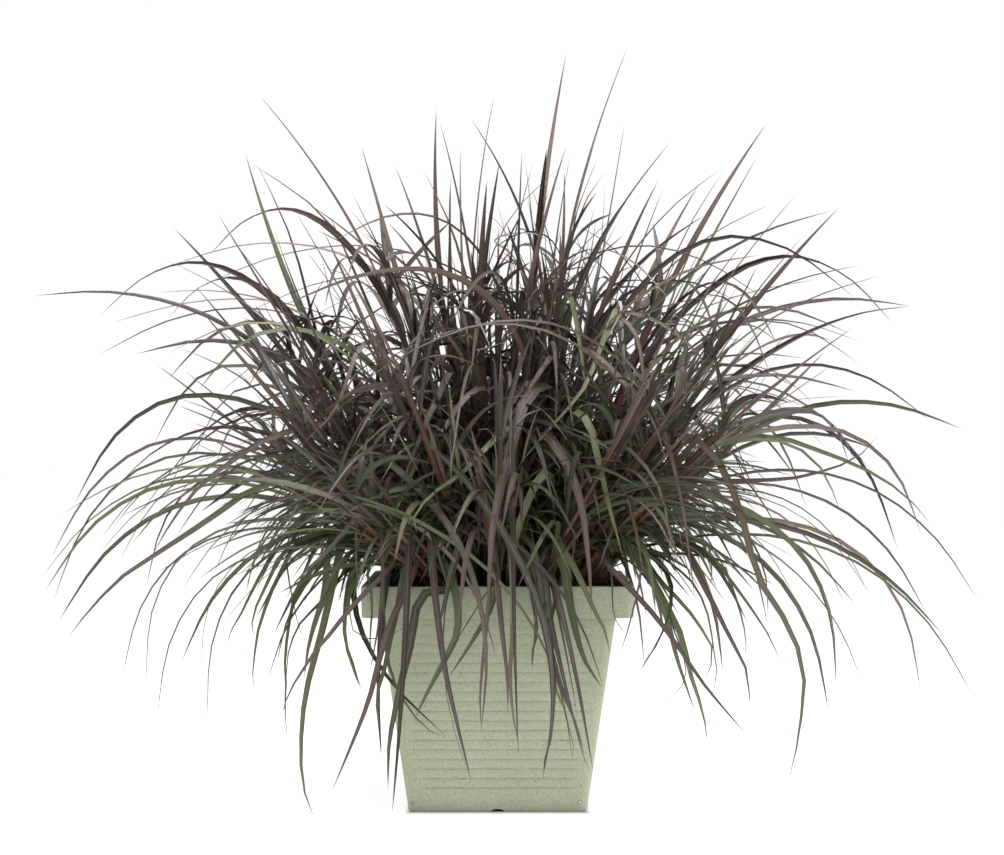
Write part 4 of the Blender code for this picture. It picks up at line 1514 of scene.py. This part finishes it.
FRONT_LEAVES = (
    FrontLeaf(((450, 372), (434, 405), (417, 445), (397, 496)), (-0.17, -0.24), 0.0056, (1, 1), 0.55, (0.4, -0.3)),
    FrontLeaf(((484, 387), (463, 400), (446, 426), (437, 445), (432, 487)), (-0.18, -0.24), 0.0050, (1, 1), 0.7),
    FrontLeaf(((547, 383), (530, 395), (519, 416), (513, 444), (504, 474), (495, 513), (491, 545), (487, 622)),
              (-0.18, -0.30), 0.0085, (1, 1), 0.5, (0.2, -0.2)),
    FrontLeaf(((531, 378), (509, 408), (496, 431), (486, 455)), (-0.18, -0.22), 0.0048, (1, 1), 0.35),
    FrontLeaf(((620, 303), (600, 350), (583, 390), (545, 434), (524, 459), (510, 479)), (-0.14, -0.26), 0.0044,
              (0.3, 0.4), 0.75, (0.3, 0.9)),
    FrontLeaf(((511, 429), (484, 449), (463, 472), (435, 492), (420, 507), (412, 524), (417, 535)),
              (-0.19, -0.29), 0.0046, (0.05, 0.2), 0.95),
    FrontLeaf(((543, 431), (558, 449), (571, 472), (581, 502), (586, 531), (588, 554), (591, 584), (591, 618)),
              (-0.18, -0.29), 0.0075, (1, 0.9), 0.75, (0.1, 0.5)),
    FrontLeaf(((577, 411), (591, 428), (597, 454), (605, 487), (611, 513), (618, 538), (623, 558)),
              (-0.17, -0.26), 0.0060, (0.0, 0.1), 0.85, (0.0, 0.4)),
    FrontLeaf(((552, 480), (549, 472), (540, 476), (525, 508), (517, 533), (513, 559), (512, 584), (511, 624)),
              (-0.18, -0.27), 0.0066, (0.05, 0.15), 0.7),
    FrontLeaf(((428, 440), (410, 446), (397, 455), (388, 469), (379, 486)), (-0.19, -0.23), 0.0036, (0.1, 0.1), 1.0),
    FrontLeaf(((394, 453), (376, 464), (364, 490), (357, 518), (356, 559), (359, 594)), (-0.16, -0.25), 0.0038,
              (0.8, 0.9), 0.6),
    FrontLeaf(((420, 513), (402, 523), (391, 536), (385, 549)), (-0.19, -0.23), 0.0036, (0.0, 0.0), 0.7),
    FrontLeaf(((419, 459), (405, 492), (394, 513), (384, 532)), (-0.19, -0.24), 0.0036, (0.3, 0.2), 0.8),
    FrontLeaf(((428, 508), (431, 543), (434, 584), (438, 620), (445, 670), (456, 719), (472, 784)),
              (-0.20, -0.27), 0.0060, (1, 0.8), 0.4),
    FrontLeaf(((448, 570), (457, 600), (457, 633), (443, 663), (428, 691), (414, 721)), (-0.20, -0.25), 0.0062,
              (0.0, 0.0), 0.6),
    FrontLeaf(((497, 585), (489, 612), (479, 630), (466, 651), (449, 677)), (-0.21, -0.24), 0.0044, (0.0, 0.1), 0.4),
    FrontLeaf(((384, 572), (383, 610), (388, 660), (398, 690), (416, 718), (433, 733), (448, 739)), (-0.20, -0.24),
              0.0030, (0.1, 0.2), 0.4),
    FrontLeaf(((493, 556), (489, 600), (482, 670), (480, 703), (482, 733)), (-0.21, -0.26), 0.0034, (0.8, 0.7), 0.7),
    FrontLeaf(((448, 588), (421, 595), (414, 620), (411, 641), (401, 683), (395, 711), (389, 744), (388, 790)),
              (-0.21, -0.27), 0.0066, (0.8, 0.3), 0.35),
    FrontLeaf(((478, 318), (474, 350), (470, 382)), (-0.16, -0.18), 0.0050, (1, 1), 0.9),
    FrontLeaf(((553, 355), (536, 378), (516, 408), (500, 432)), (-0.17, -0.22), 0.0050, (1, 1), 0.45),
    FrontLeaf(((494, 545), (499, 600), (503, 640), (507, 674), (508, 715)), (-0.21, -0.26), 0.0048, (1, 0.9), 0.6),
    FrontLeaf(((511, 556), (513, 604), (512, 645), (510, 676), (513, 715), (518, 740), (519, 756)),
              (-0.21, -0.26), 0.0042, (0.3, 0.6), 0.95),
    FrontLeaf(((527, 565), (532, 596), (537, 631), (532, 653), (533, 672)), (-0.20, -0.23), 0.0034, (0.0, 0.1), 0.3),
    FrontLeaf(((532, 545), (539, 570), (546, 613), (551, 638), (560, 660), (562, 676)), (-0.20, -0.24), 0.0048,
              (0.0, 0.1), 0.4),
    FrontLeaf(((540, 560), (546, 580), (549, 605), (551, 646), (554, 678), (553, 715), (549, 749), (542, 767),
               (543, 782)), (-0.21, -0.27), 0.0042, (0.6, 0.7), 0.3),
    FrontLeaf(((530, 560), (539, 589), (546, 635), (554, 671), (564, 696), (575, 721), (578, 730), (585, 756)),
              (-0.20, -0.26), 0.0040, (0.7, 0.8), 0.7),
    FrontLeaf(((543, 590), (548, 620), (555, 685), (564, 708), (569, 728), (574, 749), (573, 763)),
              (-0.20, -0.25), 0.0030, (0.0, 0.1), 0.95),
    FrontLeaf(((550, 630), (560, 680), (570, 708), (577, 731), (583, 755), (591, 774)), (-0.21, -0.25), 0.0026,
              (0.5, 0.6), 0.4),
    FrontLeaf(((560, 548), (566, 571), (569, 596), (576, 631), (584, 658), (593, 674), (603, 689)),
              (-0.20, -0.24), 0.0078, (0.0, 0.0), 0.45, (0.1, 0.5)),
    FrontLeaf(((560, 545), (570, 560), (582, 583), (594, 610), (605, 631), (610, 655)), (-0.20, -0.24), 0.0052,
              (0.0, 0.05), 0.6),
    FrontLeaf(((601, 556), (619, 577), (640, 599), (660, 622), (681, 651), (703, 683), (726, 711), (749, 737)),
              (-0.20, -0.28), 0.0042, (0.8, 0.9), 0.45),
    FrontLeaf(((608, 560), (612, 578), (613, 610), (619, 626), (630, 637)), (-0.20, -0.22), 0.0018, (0.5, 0.5), 0.3),
    FrontLeaf(((459, 540), (451, 575), (444, 605), (437, 632)), (-0.20, -0.23), 0.0060, (0.0, 0.0), 0.35),
    FrontLeaf(((418, 560), (407, 588), (391, 622), (381, 653), (370, 696), (361, 721), (351, 746), (332, 791)),
              (-0.20, -0.27), 0.0050, (0.9, 0.8), 0.6),
    FrontLeaf(((392, 340), (372, 340), (357, 352), (347, 380), (333, 413), (300, 446)), (-0.10, -0.20), 0.0042,
              (1, 1), 0.85, (0.0, 0.5)),
    FrontLeaf(((534, 328), (526, 345), (517, 372), (508, 400)), (-0.16, -0.18), 0.0052, (1, 1), 0.9),
    FrontLeaf(((569, 296), (575, 315), (580, 345), (584, 375), (587, 402)), (-0.15, -0.18), 0.0045, (0.1, 0.2), 0.85),
    FrontLeaf(((612, 318), (629, 312), (657, 321), (683, 339), (701, 358), (715, 385)), (-0.12, -0.20), 0.0036,
              (0.5, 0.7), 0.7),
    FrontLeaf(((618, 318), (627, 322), (637, 337), (642, 362), (645, 400), (647, 440)), (-0.14, -0.20), 0.0034,
              (0.8, 0.9), 0.9),
    FrontLeaf(((580, 349), (590, 350), (606, 362), (632, 390), (655, 425), (668, 470)), (-0.15, -0.24), 0.0030,
              (0.9, 1), 0.85),
    FrontLeaf(((600, 362), (621, 380), (657, 418), (670, 451), (683, 508), (690, 560), (695, 600)),
              (-0.15, -0.26), 0.0040, (1, 1), 0.85, (0.0, 0.4)),
    FrontLeaf(((590, 450), (601, 444), (619, 442), (644, 464), (662, 495), (670, 538), (676, 575)),
              (-0.17, -0.25), 0.0034, (0.3, 0.7), 0.8),
    FrontLeaf(((440, 412), (427, 411), (407, 414), (382, 428), (351, 459), (328, 486)), (-0.17, -0.23), 0.0028,
              (0.7, 0.8), 0.95),
    FrontLeaf(((445, 392), (432, 391), (402, 394), (379, 408), (368, 428)), (-0.17, -0.22), 0.0020, (0.6, 0.6), 1.0),
    FrontLeaf(((396, 450), (384, 451), (351, 469), (325, 495), (300, 514)), (-0.16, -0.22), 0.0048, (0.8, 0.9), 0.45),
    FrontLeaf(((414, 486), (402, 486), (384, 492), (351, 523), (325, 554), (300, 576), (285, 600)),
              (-0.18, -0.26), 0.0050, (0.8, 0.9), 0.55),
    FrontLeaf(((345, 540), (338, 560), (329, 601), (320, 639), (310, 674), (303, 712), (301, 747), (302, 780),
               (308, 803), (315, 820)), (-0.12, -0.26), 0.0058, (0.3, 0.4), 0.65),
    FrontLeaf(((392, 566), (377, 581), (361, 597), (345, 615), (326, 639), (311, 656), (302, 672), (288, 694),
               (281, 721)), (-0.20, -0.24), 0.0040, (0.9, 0.9), 0.75),
    FrontLeaf(((330, 545), (327, 566), (324, 596), (315, 622), (308, 649), (305, 671), (304, 681)),
              (-0.10, -0.14), 0.0062, (0.0, 0.0), 0.7),
    FrontLeaf(((354, 565), (346, 600), (345, 639), (352, 660), (356, 674), (363, 693)), (-0.12, -0.16), 0.0042,
              (0.0, 0.1), 0.4),
    FrontLeaf(((404, 570), (398, 605), (390, 640), (385, 667), (379, 685), (377, 705), (379, 724), (381, 758)),
              (-0.21, -0.26), 0.0042, (0.1, 0.3), 0.45),
    FrontLeaf(((318, 563), (301, 588), (293, 603), (288, 631), (285, 660), (286, 689), (285, 712), (288, 745)),
              (-0.10, -0.16), 0.0030, (0.8, 0.0), 0.5),
    FrontLeaf(((330, 590), (318, 605), (301, 622), (292, 640), (288, 655), (286, 685)), (-0.14, -0.18), 0.0024,
              (0.8, 0.6), 0.3),
    FrontLeaf(((296, 548), (288, 560), (276, 581), (267, 603), (258, 631), (254, 660), (252, 685), (254, 694)),
              (-0.06, -0.10), 0.0040, (0.2, 0.1), 0.7),
    FrontLeaf(((284, 552), (276, 565), (263, 592), (254, 612), (252, 626), (254, 640)), (-0.05, -0.08), 0.0044,
              (0.0, 0.0), 0.8),
    FrontLeaf(((280, 548), (268, 563), (254, 587), (242, 612), (231, 631), (226, 646)), (-0.04, -0.08), 0.0040,
              (0.5, 0.5), 0.75),
    FrontLeaf(((290, 550), (288, 574), (293, 600), (299, 628), (308, 646)), (-0.12, -0.16), 0.0016, (0.7, 0.9), 0.3),
    FrontLeaf(((356, 566), (349, 600), (353, 630), (361, 636), (374, 640), (390, 637), (404, 626), (413, 615)),
              (-0.18, -0.23), 0.0016, (0.0, 0.1), 0.3),
    FrontLeaf(((368, 570), (371, 590), (372, 613), (370, 640), (374, 667)), (-0.20, -0.22), 0.0026, (0.0, 0.1), 0.5),
    FrontLeaf(((640, 560), (648, 574), (660, 594), (671, 615), (683, 640), (688, 665), (696, 692), (703, 711),
               (708, 746)), (-0.12, -0.18), 0.0064, (0.0, 0.0), 0.85),
    FrontLeaf(((630, 545), (644, 566), (656, 590), (668, 622), (676, 655), (684, 680), (696, 714)),
              (-0.14, -0.18), 0.0050, (0.0, 0.1), 0.6),
    FrontLeaf(((684, 548), (692, 563), (706, 590), (719, 615), (731, 640), (744, 663), (748, 683), (751, 711)),
              (-0.10, -0.14), 0.0050, (0.9, 0.9), 0.65),
    FrontLeaf(((708, 545), (710, 556), (712, 576), (708, 590)), (-0.08, -0.10), 0.0036, (0.0, 0.0), 1.0),
    FrontLeaf(((658, 578), (667, 588), (678, 599), (692, 615), (706, 636), (713, 651), (710, 669), (703, 683)),
              (-0.14, -0.18), 0.0040, (0.1, 0.1), 0.7),
    FrontLeaf(((690, 580), (703, 601), (710, 624), (713, 647), (717, 669), (713, 693), (705, 706)), (-0.10, -0.14),
              0.0020, (0.1, 0.3), 0.6),
    FrontLeaf(((652, 585), (660, 611), (663, 631), (654, 649), (644, 663), (638, 676)), (-0.14, -0.16), 0.0030,
              (0.1, 0.1), 0.7),
    FrontLeaf(((640, 570), (637, 593), (631, 618), (626, 636), (619, 656)), (-0.20, -0.22), 0.0022, (0.6, 0.8), 0.8),
    FrontLeaf(((664, 605), (672, 625), (683, 655), (686, 672), (683, 684), (676, 694), (659, 703)), (-0.16, -0.20),
              0.0015, (0.8, 0.8), 0.3),
    FrontLeaf(((722, 566), (731, 585), (740, 611), (746, 640), (744, 661)), (-0.06, -0.10), 0.0028, (0.1, 0.2), 0.7),
    FrontLeaf(((704, 550), (717, 563), (735, 586), (753, 611), (769, 636), (782, 665)), (-0.06, -0.10), 0.0032,
              (0.3, 0.5), 0.8),
    FrontLeaf(((740, 520), (747, 543), (758, 581), (765, 611), (768, 629)), (-0.10, -0.12), 0.0028, (0.9, 0.9), 0.7),
    FrontLeaf(((691, 437), (714, 455), (731, 486), (743, 521), (752, 557), (766, 592), (790, 628), (803, 669),
               (803, 700), (797, 745), (788, 783)), (-0.18, -0.26), 0.0054, (1.0, 0.2), 0.65),
    FrontLeaf(((674, 482), (700, 481), (724, 481), (785, 479), (820, 472), (856, 458), (878, 436)), (-0.14, -0.20),
              0.0038, (0.7, 0.9), 0.4),
    FrontLeaf(((714, 437), (750, 436), (785, 439), (820, 451), (856, 465), (886, 481), (910, 500), (931, 524)),
              (-0.10, -0.14), 0.0044, (0.0, 0.3), 0.6),
    FrontLeaf(((327, 477), (290, 480), (253, 489), (208, 520), (150, 558), (123, 576), (92, 607), (66, 640)),
              (-0.10, -0.16), 0.0050, (0.0, 0.9), 0.6),
    FrontLeaf(((330, 422), (316, 424), (264, 440), (231, 462), (204, 482), (182, 507), (164, 534), (152, 556)),
              (-0.16, -0.22), 0.0050, (1.0, 1.0), 0.7),
    # The last four leaves have a tone above 1: painted highlights on folds that catch the light.
    FrontLeaf(((463, 310), (471, 311), (479, 321), (486, 337), (491, 350)), (-0.14, -0.16), 0.0040, (1, 1), 1.9),
    FrontLeaf(((478, 352), (494, 346), (506, 342), (512, 347)), (-0.15, -0.16), 0.0018, (1, 1), 1.6),
    FrontLeaf(((494, 240), (519, 233), (540, 235), (552, 247)), (-0.06, -0.08), 0.0022, (1, 1), 1.5),
    FrontLeaf(((618, 303), (623, 306), (614, 326), (606, 340)), (-0.15, -0.17), 0.0040, (0.6, 0.6), 1.7),
)


def is_front_leaf(tip: Vector) -> bool:
    """Whether a packed leaf with this tip is one of the side leaves, which are placed by themselves."""
    seen = EYE.pixel(tip)
    if abs(tip.x) < 0.20 or tip.y < -0.5:
        return False
    return any((seen - Vector(leaf.pixels[-1])).length < 9.0 for leaf in FRONT_LEAVES)


@dataclass
class FrontLeaves:
    """The leaves in front that the photograph shows one by one, each grown from the nearest stem.

    Args:
        shoots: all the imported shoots.
    """

    shoots: list[PackedShoot]
    stem_pull: float = 0.10

    def root(self, first: Vector) -> Vector:
        """The nearest point of a stem that lies behind a leaf's first seen point and below it."""
        below = first + Vector((0.0, self.stem_pull, -self.stem_pull))
        stems = [point for shoot in self.shoots for point in shoot.stem[1:]]
        return min(stems, key=lambda point: (point - below).length)

    def blade(self, leaf: FrontLeaf) -> Blade:
        """The blade of a leaf in the table."""
        last = len(leaf.pixels) - 1
        points, sides = [], []
        for number, (column, row) in enumerate(leaf.pixels):
            share = math.sin(number / last * math.pi / 2)
            depth = leaf.depths[0] + (leaf.depths[1] - leaf.depths[0]) * share
            points.append(EYE.point(column, row, depth))
        for number, point in enumerate(points):
            forward = (points[min(number + 1, last)] - points[max(0, number - 1)]).normalized()
            turn = leaf.turn[0] + (leaf.turn[1] - leaf.turn[0]) * number / last
            towards = (Vector(EYE.place) - point).normalized()
            sides.append(Quaternion(forward, turn) @ forward.cross(towards).normalized())
        root = self.root(points[0])
        middle = (root + points[0]) / 2 + UP * 0.02
        return Blade([root, middle] + points, [sides[0]] * 2 + sides, leaf.half_width, 0.3, leaf.purple,
                     leaf.tone, BLADE_STRAND)

    def build(self) -> bpy.types.Object:
        """Builds and dresses the leaves as one piece."""
        bm = bmesh.new()
        Marks(bm)
        for leaf in FRONT_LEAVES:
            self.blade(leaf).build(bm)
        return add_piece(bm, "front_leaves", [BLADE_SKIN], None, 50.0)


@dataclass
class Studio:
    """The pale floor, the soft lights and the camera.

    Args:
        eye: where the photograph was taken from.
    """

    eye: Eye
    floor_half: float = 30.0
    foot_half: float = 0.122
    glow: float = 0.82
    ambient: float = 0.42

    def floor(self) -> bpy.types.Object:
        """The pale floor, which glows evenly bright but for a painted shadow: its glow fades out in a thin band round
        the planter's foot.
        """
        bm = bmesh.new()
        bmesh.ops.create_grid(bm, x_segments=1, y_segments=1, size=self.floor_half)
        mesh = bpy.data.meshes.new("floor")
        bm.to_mesh(mesh)
        bm.free()
        nodes = NodeTree("floor_pale")
        nodes.set("Base Color", (0.40, 0.40, 0.40, 1.0))
        nodes.set("Roughness", 0.9)
        nodes.set("Specular IOR Level", 0.1)
        nodes.set("Emission Color", (1.0, 1.0, 1.0, 1.0))
        x, y, _ = nodes.add("ShaderNodeSeparateXYZ", {"Vector": nodes.place()}).outputs
        # Painted shadow: the floor's glow fades to nothing near the planter's foot.
        beside = nodes.span(nodes.math("ABSOLUTE", x), self.foot_half, self.foot_half + 0.010)
        before = nodes.span(nodes.math("ABSOLUTE", y), self.foot_half, self.foot_half + 0.030)
        nodes.set("Emission Strength", nodes.math("MULTIPLY", nodes.math("MAXIMUM", beside, before), self.glow))
        mesh.materials.append(nodes.material)
        floor = bpy.data.objects.new("floor", mesh)
        bpy.context.scene.collection.objects.link(floor)
        return floor

    def light(self, name: str, place: tuple[float, float, float], size: float, power: float) -> None:
        """A soft square light that faces the clump.

        Args:
            name: its name.
            place: where it hangs.
            size: the length of its sides.
            power: its power in watts.
        """
        data = bpy.data.lights.new(name, "AREA")
        data.size = size
        data.energy = power
        lamp = bpy.data.objects.new(name, data)
        bpy.context.scene.collection.objects.link(lamp)
        lamp.location = place
        aim = Vector((0.0, 0.0, 0.5)) - Vector(place)
        lamp.rotation_euler = aim.to_track_quat("-Z", "Y").to_euler()

    def camera(self) -> None:
        """The camera, level and square to the planter's front."""
        data = bpy.data.cameras.new("camera")
        data.sensor_width = SENSOR_WIDTH
        data.lens = self.eye.lens()
        camera = bpy.data.objects.new("camera", data)
        bpy.context.scene.collection.objects.link(camera)
        camera.location = self.eye.place
        camera.rotation_euler = (math.pi / 2, 0.0, 0.0)
        bpy.context.scene.camera = camera

    def world(self) -> None:
        """A white room that is seen bright and lights the clump softly."""
        world = bpy.data.worlds.new("studio")
        world.use_nodes = True
        nodes, links = world.node_tree.nodes, world.node_tree.links
        sky = nodes["Background"]
        sky.inputs["Color"].default_value = (1.0, 1.0, 1.0, 1.0)
        seen = nodes.new("ShaderNodeLightPath")
        strength = nodes.new("ShaderNodeMapRange")
        strength.inputs["To Min"].default_value = self.ambient
        strength.inputs["To Max"].default_value = 1.0
        links.new(seen.outputs["Is Camera Ray"], strength.inputs["Value"])
        links.new(strength.outputs["Result"], sky.inputs["Strength"])
        bpy.context.scene.world = world

    def build(self) -> None:
        """Sets up the studio."""
        self.floor()
        self.world()
        self.light("overhead", (-0.2, -0.4, 3.2), 2.4, 160.0)
        self.light("front_soft", (-1.4, -3.4, 2.2), 1.8, 12.0)
        self.light("side_soft", (3.2, -0.8, 1.3), 1.8, 60.0)
        self.camera()
        bpy.context.scene.view_settings.view_transform = "Standard"


def main() -> None:
    """Builds the object, piece by piece, and the studio around it."""
    logging.basicConfig(level=logging.INFO, format="%(message)s")
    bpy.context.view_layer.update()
    Studio(EYE).build()
    chance = random.Random(SEED)
    planter = Planter(*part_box("pot"))
    pieces = [planter.build()]
    pieces += Soil(*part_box("soil"), chance).build()
    names = sorted(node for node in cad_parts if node.startswith("tiller"))
    shoots = [PackedShoot(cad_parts[name]) for name in names]
    grower = Grower(chance, planter, Reach(shoots))
    pieces += [Shoot(packed, grower).build() for packed in shoots]
    pieces.append(FrontLeaves(shoots).build())
    for piece in pieces:
        LOG.info("%s: %d faces", piece.name, len(piece.data.polygons))


if __name__ == "__main__":
    main()
